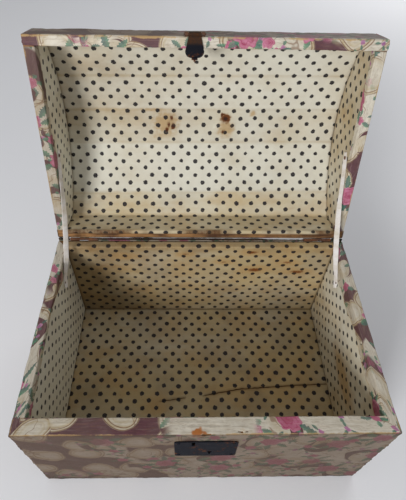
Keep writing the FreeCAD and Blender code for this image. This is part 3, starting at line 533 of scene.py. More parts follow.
class Finish:
    """A material in the making: places to read, textures and the shader's sockets."""

    def __init__(self, name, roughness, metallic=0.0, specular=0.5):
        self.material = bpy.data.materials.new(name)
        self.material.use_nodes = True
        self.tree = self.material.node_tree
        self.shader = self.tree.nodes["Principled BSDF"]
        self.shader.inputs["Roughness"].default_value = roughness
        self.shader.inputs["Metallic"].default_value = metallic
        self.shader.inputs["Specular IOR Level"].default_value = specular

    def node(self, kind, **settings):
        """New node with its settings."""
        made = self.tree.nodes.new(kind)
        for key, value in settings.items():
            setattr(made, key, value)
        return made

    def sheet(self, squeeze=(1, 1, 1)):
        """Place on the uncut sheet, in millimetres, squeezed along the sheet to draw streaks out."""
        return self.scaled(self.node("ShaderNodeUVMap", uv_map="sheet").outputs[0], squeeze)

    def scaled(self, place, squeeze):
        """A place in metres as millimetres times the squeeze."""
        made = self.node("ShaderNodeVectorMath", operation="MULTIPLY")
        self.tree.links.new(place, made.inputs[0])
        made.inputs[1].default_value = [value / MM for value in squeeze]
        return Field(self.tree, made.outputs[0])

    def place(self, squeeze=(1, 1, 1)):
        """Place in the trunk's frame, in millimetres, squeezed along the axes to draw a grain out."""
        return self.scaled(self.node("ShaderNodeTexCoord").outputs["Object"], squeeze)

    def mark(self, name):
        """Number that the mesh carries at each point."""
        return Field(self.tree, self.node("ShaderNodeAttribute", attribute_name=name).outputs["Fac"])

    def vector(self, x, y, z):
        """Vector of three numbers or fields."""
        made = self.node("ShaderNodeCombineXYZ")
        for socket, value in zip(made.inputs, (x, y, z)):
            plug(self.tree, socket, value)
        return Field(self.tree, made.outputs[0])

    def texture(self, kind, where, size, **inputs):
        """Texture node whose features are about as many millimetres wide as size."""
        made = self.node(kind)
        self.tree.links.new(where.socket, made.inputs["Vector"])
        made.inputs["Scale"].default_value = 1 / size
        for key, value in inputs.items():
            made.inputs[key.replace("_", " ").title()].default_value = value
        return made

    def noise(self, where, size, detail=2.0, roughness=0.5):
        """Cloudy noise from 0 to 1."""
        made = self.texture("ShaderNodeTexNoise", where, size, detail=detail, roughness=roughness)
        return Field(self.tree, made.outputs[0])

    def drift(self, where, size, reach):
        """The place moved by up to about half the reach along a slow noise."""
        made = self.texture("ShaderNodeTexNoise", where, size, detail=1.0)
        moved = self.node("ShaderNodeVectorMath", operation="MULTIPLY_ADD")
        centred = self.node("ShaderNodeVectorMath", operation="SUBTRACT")
        centred.inputs[1].default_value = (0.5, 0.5, 0.5)
        self.tree.links.new(made.outputs[1], centred.inputs[0])
        self.tree.links.new(centred.outputs[0], moved.inputs[0])
        moved.inputs[1].default_value = (reach, reach, 0)
        self.tree.links.new(where.socket, moved.inputs[2])
        return Field(self.tree, moved.outputs[0])

    def chance(self, where):
        """Three random numbers for each whole place."""
        made = self.node("ShaderNodeTexWhiteNoise", noise_dimensions="3D")
        self.tree.links.new(where.socket, made.inputs["Vector"])
        return Field(self.tree, made.outputs["Color"]).parts()

    def scatter(self, where, size, stray):
        """Motifs strewn over the sheet: distance to the nearest in millimetres, offsets from it, its three
        random numbers and its place."""
        made = self.texture("ShaderNodeTexVoronoi", where, size, randomness=stray)
        made.voronoi_dimensions = "2D"
        centre = Field(self.tree, made.outputs["Position"])
        across, up, _ = where.parts()
        centre_across, centre_up, _ = centre.parts()
        random = Field(self.tree, made.outputs["Color"]).parts()
        reach = Field(self.tree, made.outputs["Distance"]) * size
        return reach, across - centre_across, up - centre_up, random, centre

    def relief(self, height, depth, strength=1.0):
        """Fine unevenness of the surface, as deep as depth in metres."""
        made = self.node("ShaderNodeBump")
        made.inputs["Strength"].default_value = strength
        made.inputs["Distance"].default_value = depth
        self.tree.links.new(height.socket, made.inputs["Height"])
        self.tree.links.new(made.outputs[0], self.shader.inputs["Normal"])

    def wear(self, tint, roughness=None):
        """Lead the colour, and the roughness where it varies, to the shader."""
        self.tree.links.new(tint.socket, self.shader.inputs["Base Color"])
        if roughness is not None:
            self.tree.links.new(roughness.socket, self.shader.inputs["Roughness"])
        return self.material


def dotted_paper():
    """Lining paper: staggered rows of ink dots with strayed centres and rough rims, on paper that has
    yellowed, taken up damp and rust and gathered dirt where its marks say so, and is darkened by painted
    shade in the corners, in the floor's split, at the upper left of the dome and on the left of the back
    wall."""
    sizes, tints = bpy.context.scene.trunk_sizes, bpy.context.scene.trunk_colours
    finish = Finish("aged_dotted_paper", 0.72, specular=0.3)
    flat = finish.sheet()
    across, up, _ = finish.drift(flat, 70.0, 3.0).parts()
    row = (up / (sizes.dot_row / MM)).floor()
    shift = (row * 0.5).fract()
    column = (across / (sizes.dot_pitch / MM) - shift).floor()
    stray_x, stray_y, spread = finish.chance(finish.vector(column, row, 3.0))
    off_x = across - (column + shift + 0.5) * (sizes.dot_pitch / MM) + (stray_x - 0.5) * 1.5
    off_y = up - (row + 0.5) * (sizes.dot_row / MM) + (stray_y - 0.5) * 1.3
    ragged = (finish.noise(flat, 1.7, 2.0) - 0.5) * 2.3
    reach = (off_x * off_x + off_y * off_y).power(0.5) + ragged
    radius = (0.97 + 0.14 * finish.mark("aged")) * (sizes.dot_size / MM / 2)
    ink = (reach - (spread - 0.5) * 0.7).below(radius, 0.3)
    ink = ink * (0.86 + 0.14 * finish.noise(flat, 1.1, 1.0).above(0.42, 0.12))

    aged = finish.mark("aged")
    cloud = finish.noise(flat, 60.0, 4.0, 0.6)
    streak = finish.noise(finish.place((0.12, 1.0, 1.0)), 14.0, 3.0, 0.55)
    yellow = (aged + (cloud - 0.5) * 0.9 + (streak - 0.5) * 0.5).above(0.5, 0.62)
    tint = yellow.mix(tints.paper, tints.paper_aged)
    blotch = finish.noise(finish.sheet((1, 0.45, 1)), 4.0, 5.0, 0.7)
    patch = finish.noise(finish.place((0.6, 1, 1)), 26.0, 4.0, 0.6)
    tint = (patch.above(0.54, 0.1) * aged * 0.6).mix(tint, tints.paper_tan)
    tint = (cloud.below(0.46, 0.1) * aged * 0.35).mix(tint, tints.dust_and_shade)
    damp = (finish.mark("damp") * (0.3 + 1.4 * blotch)).above(0.45, 0.3)
    tint = (damp * 0.8).mix(tint, tints.paper_tan)
    rust = (finish.mark("rust") * (0.2 + 1.6 * blotch)).above(0.55, 0.22)
    tint = rust.mix(tint, tints.paper_stain)
    speck = (finish.noise(finish.place(), 2.6, 3.0, 0.6) + 0.05 * aged).above(0.74, 0.05)
    tint = (speck * 0.4).mix(tint, tints.paper_stain)
    tint = (ink * (1.0 - 0.35 * rust)).mix(tint, tints.dot)
    # Dirt, and painted shade in the corners, the floor's split, the upper left of the dome and the left of
    # the back wall
    soil_and_shade = (finish.mark("soil_and_shade") * (0.55 + 0.9 * finish.noise(finish.place(), 16.0, 4.0, 0.6))).above(0.5, 0.5)
    tint = tint.times(soil_and_shade.mix((1, 1, 1), (0.36, 0.26, 0.16)))
    # Much darker again where the mark is highest: painted shade in the floor's split
    tint = tint.times(finish.mark("soil_and_shade").above(1.5, 0.5).mix((1, 1, 1), (0.3, 0.25, 0.22)))
    tooth = finish.noise(flat, 2.4, 4.0, 0.65) + 1.5 * finish.noise(flat, 24.0, 3.0, 0.6)
    finish.relief(tooth, 0.2 * MM, 0.7)
    return finish.wear(tint, 0.62 + 0.2 * cloud)


def leaf_ring(finish, reach, turn, random, leaves, inner, outer, broad):
    """Leaves that stand round a motif: its circle is cut into equal sectors and each holds one pointed leaf
    whose half width follows a parabola from stalk to tip. Gives the leaf's cover and its shade."""
    sector = turn * (leaves / (2 * math.pi))
    number = sector.floor()
    angle = (sector - number - 0.5) * (2 * math.pi / leaves)
    first, second, third = finish.chance(finish.vector(number, random[0] * 91.0, random[1] * 37.0))
    lean = angle + (first - 0.5) * 0.35
    along = reach * lean.cosine()
    aside = reach * lean.sine()
    share = (along - inner) / (outer * (0.72 + 0.28 * second) - inner)
    inside = share * (1.0 - share) * 4.0
    half = inside.larger(0.0).power(0.8) * broad
    toothed = half * (1.0 + 0.22 * (share * 40.0).sine())
    cover = (toothed - abs(aside)).above(0.15, 0.18) * third.above(0.3)
    vein = abs(aside).below(0.3, 0.22)
    shade = aside.above(0.0, broad * 0.8) * 0.55 + vein * 0.35 + (second - 0.5) * 0.5 + 0.25
    return cover, shade


def bloom(reach, turn, random, radius, petals):
    """Open flower: a wavy outline of so many petals, with a spiral of petal edges inside. Gives its cover
    and its shade."""
    wavy = 0.09 * (turn * petals).cosine() + 0.05 * (turn * (petals + 4.0) + 1.3).cosine()
    outline = radius * (1.0 + wavy)
    share = reach / outline
    spiral = (share * 2.7 + turn * (1 / (2 * math.pi)) + random[2]).fract()
    cover = (outline - reach).above(0.2, 0.3)
    edge = spiral.above(0.2, 0.22) * (1.0 - spiral * 0.45)
    return cover, edge * (0.35 + 0.65 * share)


def printed_cloth():
    """Floral furnishing print: scalloped cream discs with double outlines on maroon, and on cream ground
    maroon crescents, roses with rings of leaves, small blossoms and twigs; streaked, faded, rubbed and
    soiled, and darkened with painted shade on the box's front, the lid's front band, the left end of the
    lid's rim and the lip at the box's back edge."""
    tints = bpy.context.scene.trunk_colours
    finish = Finish("faded_printed_cloth", 0.62, specular=0.3)
    flat = finish.sheet()
    drawn = finish.drift(flat, 44.0, 22.0)
    wash = finish.noise(flat, 8.0, 5.0, 0.7)
    streak = finish.noise(finish.sheet((0.10, 1, 1)), 2.4, 4.0, 0.65)
    region = finish.noise(flat, 70.0, 1.0) + (finish.mark("scroll") - 0.5) * 0.6
    busy = 1.0 - finish.mark("plain")
    dim = tuple(0.88 * value for value in tints.ground)
    tint = (wash + streak * 0.6).above(0.8, 0.25).mix(dim, tints.ground)
    plum = wash.above(0.5, 0.3).mix(tuple(0.8 * value for value in tints.maroon),
                                    tuple(1.15 * value for value in tints.maroon))

    # Scalloped discs on maroon
    reach, _, _, random, _ = finish.scatter(drawn, 41.0, 0.85)
    inside = 18.5 + 3.0 * random[0] - 3.5 * finish.mark("scroll") - reach
    fold = (inside * 0.22 + finish.noise(flat, 26.0, 1.0) * 3.0).fract()
    shading = inside.below(8.0, 6.0) * (0.35 + 0.65 * fold.below(0.5, 0.3))
    lines = abs(inside - 3.2).below(0.42, 0.3) + abs(inside - 0.6).below(0.5, 0.3)
    disc = lines.mix(shading.mix(tint, tints.scroll), tints.twig)
    dark = inside.below(0.0, 0.3) * region.above(0.52, 0.012) * busy
    tint = (inside.above(0.0, 0.3) * region.above(0.46, 0.04) * busy).mix(tint, disc)
    tint = dark.mix(tint, plum)

    # Crescents with an outline on each side
    reach, off_x, off_y, random, _ = finish.scatter(drawn, 52.0, 0.9)
    turn = off_y.bearing(off_x) + random[1] * 2.0 * math.pi
    swell = (turn.cosine() * 0.5 + 0.5).power(1.3) * (3.0 + 4.5 * random[0])
    ring = reach - (11.0 + 8.0 * random[2])
    on_cream = region.below(0.55, 0.02) * busy
    crescent = (swell - abs(ring + 0.35 * swell)).above(0.5, 0.3) * on_cream
    shade = ring.below(0.0, 5.0) * ring.above(-9.0, 3.0) * on_cream
    tint = (shade * 0.5).mix(tint, tints.scroll)
    tint = (abs(ring - 1.6).below(0.35, 0.25) * swell.above(0.9, 0.5) * on_cream * 0.8).mix(tint, tints.twig)
    tint = crescent.mix(tint, plum)

    # Twigs, then buds, small blossoms and roses. The rows give each kind's spacing and radius in millimetres,
    # petals, leaves, the leaves' reach and half width, the share of places left empty and the two colours.
    open_ground = (1.0 - dark) * (1.0 - crescent) * busy
    winding = abs(finish.noise(flat, 30.0, 2.0) - 0.5).below(0.008, 0.006)
    vine = winding * finish.noise(flat, 55.0).above(0.48, 0.03)
    tint = (vine * open_ground * 0.7).mix(tint, tints.twig)
    wavy = finish.drift(flat, 8.0, 3.4)
    for size, radius, petals, leaves, outer, broad, empty, first, second in (
            (21.0, 2.6, 4.0, 3, 9.5, 1.7, 0.24, tints.lilac, tints.rose),
            (33.0, 4.8, 5.0, 5, 16.0, 2.3, 0.18, tints.rose_deep, tints.rose),
            (55.0, 10.5, 6.0, 7, 28.0, 3.4, 0.22, tints.rose_deep, tints.rose)):
        reach, off_x, off_y, random, centre = finish.scatter(wavy, size, 0.8)
        turn = off_y.bearing(off_x) + random[1] * 2.0 * math.pi + 2 * math.pi
        grown = radius * (0.75 + 0.5 * random[0])
        ground = finish.noise(centre, 70.0, 1.0) + (finish.mark("scroll") - 0.5) * 0.5
        present = random[2].above(empty) * ground.below(0.55, 0.03) * busy
        cover, shade = leaf_ring(finish, reach, turn, random, leaves, radius * 0.7, outer, broad)
        green = (shade + (wash - 0.5) * 1.8).mix(tints.leaf, tints.leaf_deep)
        tint = (cover * present * (0.75 + 0.25 * streak)).mix(tint, green)
        cover, shade = bloom(reach, turn, random, grown, petals)
        petal = (shade * (0.55 + 0.6 * random[1]) + (wash - 0.5) * 1.3).mix(first, second)
        tint = (cover * present).mix(tint, petal)

    # Fading, wrinkles, rubbed edges, rust, dirt and painted shade
    cloud = finish.noise(flat, 45.0, 4.0, 0.6)
    worn = finish.mark("worn")
    faded = 0.02 + 0.07 * cloud.above(0.5, 0.2) + 0.12 * worn * streak.above(0.6, 0.1)
    tint = faded.mix(tint, tints.ground)
    tint = tint.times((streak + (wash - 0.5) * 0.4).above(0.48, 0.2).mix((0.85, 0.82, 0.78), (1, 1, 1)))
    wrinkle = abs(finish.noise(finish.sheet((0.14, 1, 1)), 5.0, 3.0, 0.6) - 0.5).below(0.012, 0.012)
    tint = (wrinkle * worn * 0.35).mix(tint, tints.twig)
    scuff = finish.noise(finish.place(), 4.0, 5.0, 0.7)
    gone = finish.noise(finish.place(), 26.0, 3.0, 0.6)
    rubbed = finish.mark("rubbed")
    ragged = rubbed + (scuff - 0.5) * 1.2 + (gone - 0.5) * 2.2 - 0.5
    bare = ragged.above(0.45, 0.2) * rubbed.above(0.1, 0.08)
    tint = (bare * 0.8).mix(tint, tints.varnish)
    rust = (finish.mark("rust") * (0.3 + 1.4 * scuff)).above(0.5, 0.25)
    tint = rust.mix(tint, tints.orange)
    # Grey-brown veil and darkening: dirt, and painted shade on the box's front, the lid's front band and the
    # left end of the lid's rim
    soil_and_shade = (finish.mark("soil_and_shade") * (0.55 + 0.5 * cloud + 0.4 * streak)).above(0.5, 0.55)
    tint = (soil_and_shade * 0.56).mix(tint, tints.dust_and_shade)
    tint = tint.times(soil_and_shade.mix((1, 1, 1), (0.42, 0.37, 0.35)))
    # Nearly black where the mark is highest: painted shadow on the lip at the box's back edge, in the gap
    # under the lid
    tint = tint.times(finish.mark("soil_and_shade").above(1.7, 0.2).mix((1, 1, 1), (0.22, 0.17, 0.14)))
    raw = finish.mark("raw").above(0.5, 0.3)
    tint = (raw * 0.7).mix(tint, tints.paper_aged)
    weave = finish.noise(flat, 0.9, 2.0) + 0.6 * wash + 0.5 * streak
    finish.relief(weave, 0.35 * MM, 0.7)
    return finish.wear(tint, 0.5 + 0.3 * cloud)


def old_wood():
    """Softwood boards: grain lines drawn out along the trunk, darker where old stain has soaked in."""
    tints = bpy.context.scene.trunk_colours
    finish = Finish("old_wood", 0.75, specular=0.3)
    long = finish.place((0.05, 1.0, 1.0))
    grain = finish.noise(long, 3.2, 5.0, 0.62)
    rings = (finish.noise(long, 11.0, 2.0) * 9.0).fract()
    stain = finish.noise(finish.place(), 38.0, 4.0, 0.6)
    dark = (grain * 0.7 + rings * 0.25 + (stain - 0.5) * 2.2).above(0.47, 0.38)
    tint = dark.mix(tints.wood, tints.wood_dark)
    finish.relief(grain + rings * 0.4, 0.3 * MM, 0.7)
    return finish.wear(tint, 0.6 + 0.25 * grain)


def black_iron():
    """Lacquered sheet iron: blue-black with fine pits, brown where rust has come through and round the hasp's
    hinge."""
    tints = bpy.context.scene.trunk_colours
    finish = Finish("lacquered_iron", 0.7, specular=0.05)
    where = finish.place()
    pits = finish.noise(where, 2.2, 5.0, 0.65)
    patch = finish.noise(where, 13.0, 4.0, 0.62)
    _, y, z = where.parts()
    off_y, off_z = y - HASP_PIVOT[0], z - HASP_PIVOT[1]
    near_pivot = (off_y * off_y + off_z * off_z).power(0.5)
    rust = (patch * 0.75 + pits * 0.35).above(0.66, 0.07)
    lacquer = finish.noise(where, 20.0, 2.0).mix(tints.japan, tuple(1.5 * value for value in tints.japan))
    scale = (pits + (patch - 0.5) * 0.8).above(0.5, 0.2).mix(tints.rust_dark, tints.wood_dark)
    tint = near_pivot.below(9.0, 2.0).mix((rust * 0.85).mix(lacquer, tints.rust), scale)
    finish.relief(pits, 0.25 * MM, 0.6)
    return finish.wear(tint, 0.5 + 0.25 * patch + 0.2 * rust)


def rusty_iron():
    """Bare iron gone brown: dark scale with orange-brown bloom and pits."""
    tints = bpy.context.scene.trunk_colours
    finish = Finish("brown_iron", 0.7, metallic=0.25)
    where = finish.place()
    pits = finish.noise(where, 1.6, 5.0, 0.68)
    patch = finish.noise(where, 7.0, 4.0, 0.62)
    rust = (patch * 0.8 + pits * 0.4).above(0.58, 0.2)
    tint = rust.mix(tints.rust_dark, tints.rust)
    finish.relief(pits, 0.35 * MM, 0.8)
    return finish.wear(tint, 0.5 + 0.4 * patch)


def cotton_tape():
    """Twill tape: slanting ribs across the width, a little grey dirt and yellowing."""
    tints = bpy.context.scene.trunk_colours
    finish = Finish("twill_tape", 0.9, specular=0.15)
    flat = finish.sheet()
    across, along, _ = flat.parts()
    rib = ((across * 1.2 + along * 1.6) * 2.6).sine() * 0.5 + 0.5
    cloud = finish.noise(flat, 12.0, 4.0, 0.6)
    dirt = cloud.above(0.55, 0.2) * 0.55
    tint = dirt.mix(tints.tape, tints.paper_aged)
    tint = tint.times((0.6 + 0.4 * rib).mix((0.78, 0.77, 0.76), (1, 1, 1)))
    finish.relief(rib + cloud * 0.4, 0.12 * MM, 0.8)
    return finish.wear(tint)


def finish_named(slot):
    """Finish of a material slot, made when it is first asked for."""
    makers = {"bare_board": ("old_wood", old_wood), "printed_cloth": ("faded_printed_cloth", printed_cloth),
              "dotted_paper": ("aged_dotted_paper", dotted_paper), "cotton_tape": ("twill_tape", cotton_tape),
              "black_iron": ("lacquered_iron", black_iron), "rusty_iron": ("brown_iron", rusty_iron)}
    name, maker = makers[slot]
    return bpy.data.materials.get(name) or maker()


def dress_solids(slot):
    """Give the CAD nodes of a slot of the record their finish."""
    for row in frame["record"]["subparts"]:
        if row.get("material_slot") == slot:
            mesh = frame["nodes"][row["node"]].data
            mesh.materials.clear()
            mesh.materials.append(finish_named(slot))


class TRUNK_OT_tapes(bpy.types.Operator):
    """Two cotton tapes that hold the lid open, from the box's tacks to the lid's"""

    bl_idname = "trunk.tapes"
    bl_label = "Lid stays"

    def execute(self, context):
        for name, side in SIDES.items():
            self.tape(context.scene.trunk_sizes, name, side)
        return {"FINISHED"}

    def tape(self, sizes, name, side):
        """Flat tube along a smooth spline: its section is a flattened ring that lies against the wall at both
        tacks, turns to face the front between them, and is narrowed and frayed at both ends."""
        x = side * TAPE_X
        line = self.spline(name, [(x + side * dx, y, z) for dx, y, z in TAPE_ROUTE])
        run = run_along(line)
        tangent = np.gradient(line, axis=0)
        tangent /= np.linalg.norm(tangent, axis=1, keepdims=True)
        share = run / run[-1]
        twist = side * math.radians(TAPE_TURN) * np.interp(share, *TAPE_TWIST)
        inward = np.array((1.0, 0.0, 0.0))
        plain = np.cross(inward, tangent)
        wide = plain * np.cos(twist)[:, None] + inward * np.sin(twist)[:, None]
        thin = inward * np.cos(twist)[:, None] - plain * np.sin(twist)[:, None]
        angle = np.linspace(0, 2 * math.pi, 24, endpoint=False)
        to_end = np.minimum(run, run[-1] - run)
        fray = 1 - 0.25 * bump(to_end, 4 * MM)
        waver = 1 + 0.05 * ripple(5 + side, run, run * 0, 14 * MM)
        half = sizes.tape_width / 2 * fray * waver
        square = np.sign(np.cos(angle)) * np.abs(np.cos(angle)) ** 0.55
        flatness = sizes.tape_thick / 2 * np.sign(np.sin(angle)) * np.abs(np.sin(angle)) ** 0.7
        curl = 0.35 * sizes.tape_thick * ripple(9 + side, run, run * 0, 30 * MM)
        tube = (line[:, None] + wide[:, None] * (half[:, None] * square)[..., None]
                + thin[:, None] * (flatness + curl[:, None] * square ** 2)[..., None])
        tooth = 1.6 * MM * np.abs(ripple(13 + side, square * 6, square * 0, 1.4))
        tooth = tooth * bump(np.abs(square) - 1, 2)
        tube[:2] -= tangent[:2, None] * tooth[None, :, None]
        tube[-2:] += tangent[-2:, None] * tooth[None, :, None]
        ends = np.concatenate((line[:1, None] + tube[:1] * 0, tube, line[-1:, None] + tube[-1:] * 0))
        across = np.append(angle, 2 * math.pi) / math.pi * sizes.tape_width
        along = np.concatenate((run[:1], run, run[-1:]))
        flat = gather(across, along[:, None])
        piece = add_surface(name + "_tape", ends, flat, {}, closed=True, turned=True)
        piece.data.materials.append(finish_named("cotton_tape"))
        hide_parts(name + "_lid_stay")
        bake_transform(piece)

    def spline(self, name, route):
        """Points of a smooth spline that has the route as its control points."""
        curve = bpy.data.curves.new(name + "_tape_route", "CURVE")
        curve.dimensions = "3D"
        run = curve.splines.new("NURBS")
        run.points.add(len(route) - 1)
        run.points.foreach_set("co", np.c_[np.array(route), np.ones(len(route))].ravel())
        run.order_u = 3
        run.use_endpoint_u = True
        run.resolution_u = 24
        holder = bpy.data.objects.new(name + "_tape_route", curve)
        drawn = bpy.data.meshes.new_from_object(holder)
        points = np.zeros(len(drawn.vertices) * 3)
        drawn.vertices.foreach_get("co", points)
        bpy.data.objects.remove(holder)
        bpy.data.curves.remove(curve)
        bpy.data.meshes.remove(drawn)
        return points.reshape(-1, 3)


class TRUNK_OT_box_cloth(bpy.types.Operator):
    """Printed cloth round the box, over its rim and turned in"""

    bl_idname = "trunk.box_cloth"
    bl_label = "Box cloth"

    def loop(self, planes):
        """Stations round the box: rounded outer and inner rectangles, the outward normal and the run along
        the outside. Each side's stations share one fraction on both rectangles, and each corner turns by a
        quarter on an arc. Stations are close at the worn middle of the front and at the hinges' ends."""
        outer_round, inner_round = 2.2 * MM, 0.8 * MM
        cloth = planes.half_width - planes.board_x
        outer = (planes.half_width, -planes.half_depth, planes.half_depth)
        inner = (planes.inner_x - cloth, planes.front_y + cloth, planes.back_y - cloth)
        half = planes.half_width
        front = spaced((-half, 2.4 * MM), (-30 * MM, 0.7 * MM), (26 * MM, 2.4 * MM), half)
        front = (front + half) / (2 * half)
        plain = np.linspace(0, 1, 92)
        near, far = planes.hinge_x - HINGE_CUT, planes.hinge_x + HINGE_CUT
        stretches = [(-half + outer_round, 2.5 * MM)]
        for place in (-far, -near, near, far):
            stretches += [(place - 0.6 * MM, 0.3 * MM), (place + 0.6 * MM, 2.5 * MM)]
        back = spaced(*stretches, half - outer_round)
        back = (back - back[0]) / (back[-1] - back[0])
        fractions = [front, plain, back, plain]
        quarter = np.linspace(0, math.pi / 2, 7)[1:-1]
        rings = {}
        for ring, (x, low, high), radius in (("outer", outer, outer_round), ("inner", inner, inner_round)):
            corners = [(-x, low), (x, low), (x, high), (-x, high)]
            places = []
            for index, fraction in enumerate(fractions):
                start, end = np.array(corners[index]), np.array(corners[(index + 1) % 4])
                way = (end - start) / np.linalg.norm(end - start)
                left = np.array((-way[1], way[0]))
                start, end = start + way * radius, end - way * radius
                places.append(start + (end - start) * fraction[:, None])
                centre = end + left * radius
                arc = np.sin(quarter)[:, None] * way - np.cos(quarter)[:, None] * left
                places.append(centre + radius * arc)
            rings[ring] = np.concatenate(places)
        facing = []
        for index, fraction in enumerate(fractions):
            turn = index * math.pi / 2 - math.pi / 2
            facing.append(np.full(len(fraction), turn))
            facing.append(turn + quarter)
        facing = np.concatenate(facing)
        normal = np.stack((np.cos(facing), np.sin(facing)), 1)
        run = run_along(np.concatenate((rings["outer"], rings["outer"][:1])))
        return rings["outer"], rings["inner"], normal, run

    def execute(self, context):
        planes = Planes(context.scene.trunk_sizes)
        outer, inner, normal, run = self.loop(planes)
        points, bend_row, edge_row, in_row = self.rows(planes, outer, inner, normal)
        u = run[:-1]
        v = run_along(points)
        points, v, last = self.trim(planes, points, v, u, outer, normal, bend_row, in_row)
        level = np.arange(len(points))[:, None]
        on_rim = (level >= edge_row) & (level < in_row)
        x, y, z = points[..., 0], points[..., 1], points[..., 2]
        uneven = self.creases(planes, np.broadcast_to(u, v.shape), v, x, y, on_rim)
        at_back = y > planes.half_depth
        uneven = np.where(at_back, 0.2 * uneven, uneven)
        points = points + normals(points, True) * uneven[..., None]
        points[..., 2] = np.minimum(points[..., 2], planes.top + np.where(at_back, LIP_HEIGHT, 0.12 * MM))

        on_front = y < planes.front_y
        outside = level < edge_row
        to_edge = np.abs(v - v[edge_row])
        corner = np.abs(np.abs(outer) - (planes.half_width, planes.half_depth)).sum(1)
        rubbed = bump(to_edge, 1.5 * MM) * np.where(on_front, 1.0, 0.45)
        rubbed = np.maximum(rubbed, bump(corner, 4 * MM)[None] * 0.6 * (to_edge < 0.03))
        rubbed = np.maximum(rubbed, bump(v, 4 * MM) * 0.6)
        from_patch = np.hypot(x - RUBBED_PATCH[0], y - RUBBED_PATCH[1])
        rubbed = np.maximum(rubbed, 0.75 * bump(from_patch, 12 * MM) * on_rim)
        spot = np.hypot((x - RUST_SPOT[0]) * 0.6, y - RUST_SPOT[1]) + waves(x, y, (24, 1.5, 6))
        rust = 1.1 * bump(np.maximum(spot, 0), 3.9 * MM) * (z > planes.top - 5 * MM)
        # Dirt with painted shade: the front's outside is darker than the sides and darker still towards its
        # left as painted shade, and the lip inside the back edge is painted nearly black as the shadow in the
        # gap under the lid
        soil_and_shade = np.where(outside, np.where(on_front, 0.95, 0.55), 0.24) + 0.4 * bump(v, 25 * MM)
        round_lock = bump(np.hypot(x - LOCK_DIRT[0], z - LOCK_DIRT[1]), 30 * MM)
        soil_and_shade = soil_and_shade + (0.3 * np.clip(-x / 0.12, 0, 1) + 0.35 * round_lock) * (on_front & outside)
        soil_and_shade = soil_and_shade + 2.0 * (at_back & ~outside)
        scroll = np.where(on_front & ~outside, 0.5 + 0.5 * np.clip(-(x + 0.035) / 0.02, -1, 1),
                          0.40 + 0.36 * np.clip(-x / 0.1, 0, 1) * on_front)
        plain = plateau(x, PLAIN_X, PLAIN_HALF, 6 * MM) * on_front * ~outside
        marks = {"rubbed": rubbed, "soil_and_shade": soil_and_shade, "scroll": scroll, "rust": rust, "plain": plain,
                 "raw": bump(last - v, 0.9 * MM) * ~at_back, "worn": np.where(on_rim, 0.8, 0.35)}

        closed = np.concatenate((points, points[:, :1]), 1)
        keep = worn_away(closed, HOLES, 41)
        middle = (closed[:-1, :-1] + closed[1:, 1:]) / 2
        aside, off = np.abs(middle[..., 0]), np.abs(middle[..., 2] - PLATE_Z)
        keep &= ~((aside < PLATE_CUT[0]) & (off < PLATE_CUT[1]) & (middle[..., 1] < -0.11))
        jump = np.abs(np.roll(last, -1) - last) > 6 * MM
        keep &= ~(jump[None] & (level[:-1] >= in_row - 4))
        back = faces(normal, 1, 1)
        keep &= ~((back != np.roll(back, -1))[None] & (level[:-1] >= bend_row))
        flat = gather(run, np.concatenate((v, v[:, :1]), 1))
        piece = add_surface("box_cloth", points, flat, marks, keep, closed=True)
        finish_sheet(piece, "box", "body_covering", "printed_cloth", CLOTH_THICK)
        return {"FINISHED"}

    def rows(self, planes, outer, inner, normal):
        """Rows of the profile: up the outside, round the outer edge, across the rim, round the inner edge and
        down inside; at the back they go straight up instead. Also gives the numbers of the rows where the
        outer bend, the rim and the inside start."""
        round_out, round_in, deepest = 1.6 * MM, 1.4 * MM, 24 * MM
        hem = 0.9 * MM + waves(outer[:, 0], outer[:, 1], (23, 0.5, 25))

        def ring(place, height):
            return np.concatenate((place, np.broadcast_to(height, len(place))[:, None]), 1)

        rows = [ring(outer, hem + share * (planes.top - round_out - hem)) for share in np.linspace(0, 1, 46)]
        bend_row = len(rows) - 1
        for angle in np.linspace(0, math.pi / 2, 7)[1:]:
            rows.append(ring(outer - normal * round_out * (1 - math.cos(angle)),
                             planes.top - round_out * (1 - math.sin(angle))))
        edge_row = len(rows) - 3
        for share in np.linspace(0, 1, 17)[1:]:
            place = (outer - normal * round_out) * (1 - share) + (inner + normal * round_in) * share
            rows.append(ring(place, planes.top))
        for angle in np.linspace(0, math.pi / 2, 6)[1:]:
            rows.append(ring(inner + normal * round_in * (1 - math.sin(angle)),
                             planes.top - round_in * (1 - math.cos(angle))))
        in_row = len(rows)
        for drop in np.linspace(round_in, deepest, 15)[1:]:
            rows.append(ring(inner, planes.top - drop))
        points = np.stack(rows)
        on_back = faces(normal, 1, 1)
        rise = run_along(points[bend_row:])[1:, on_back]
        points[bend_row + 1:, on_back, :2] = outer[on_back] + np.array((0, 1.2 * MM))
        points[bend_row + 1:, on_back, 2] = planes.top - round_out + rise
        return points, bend_row, edge_row, in_row

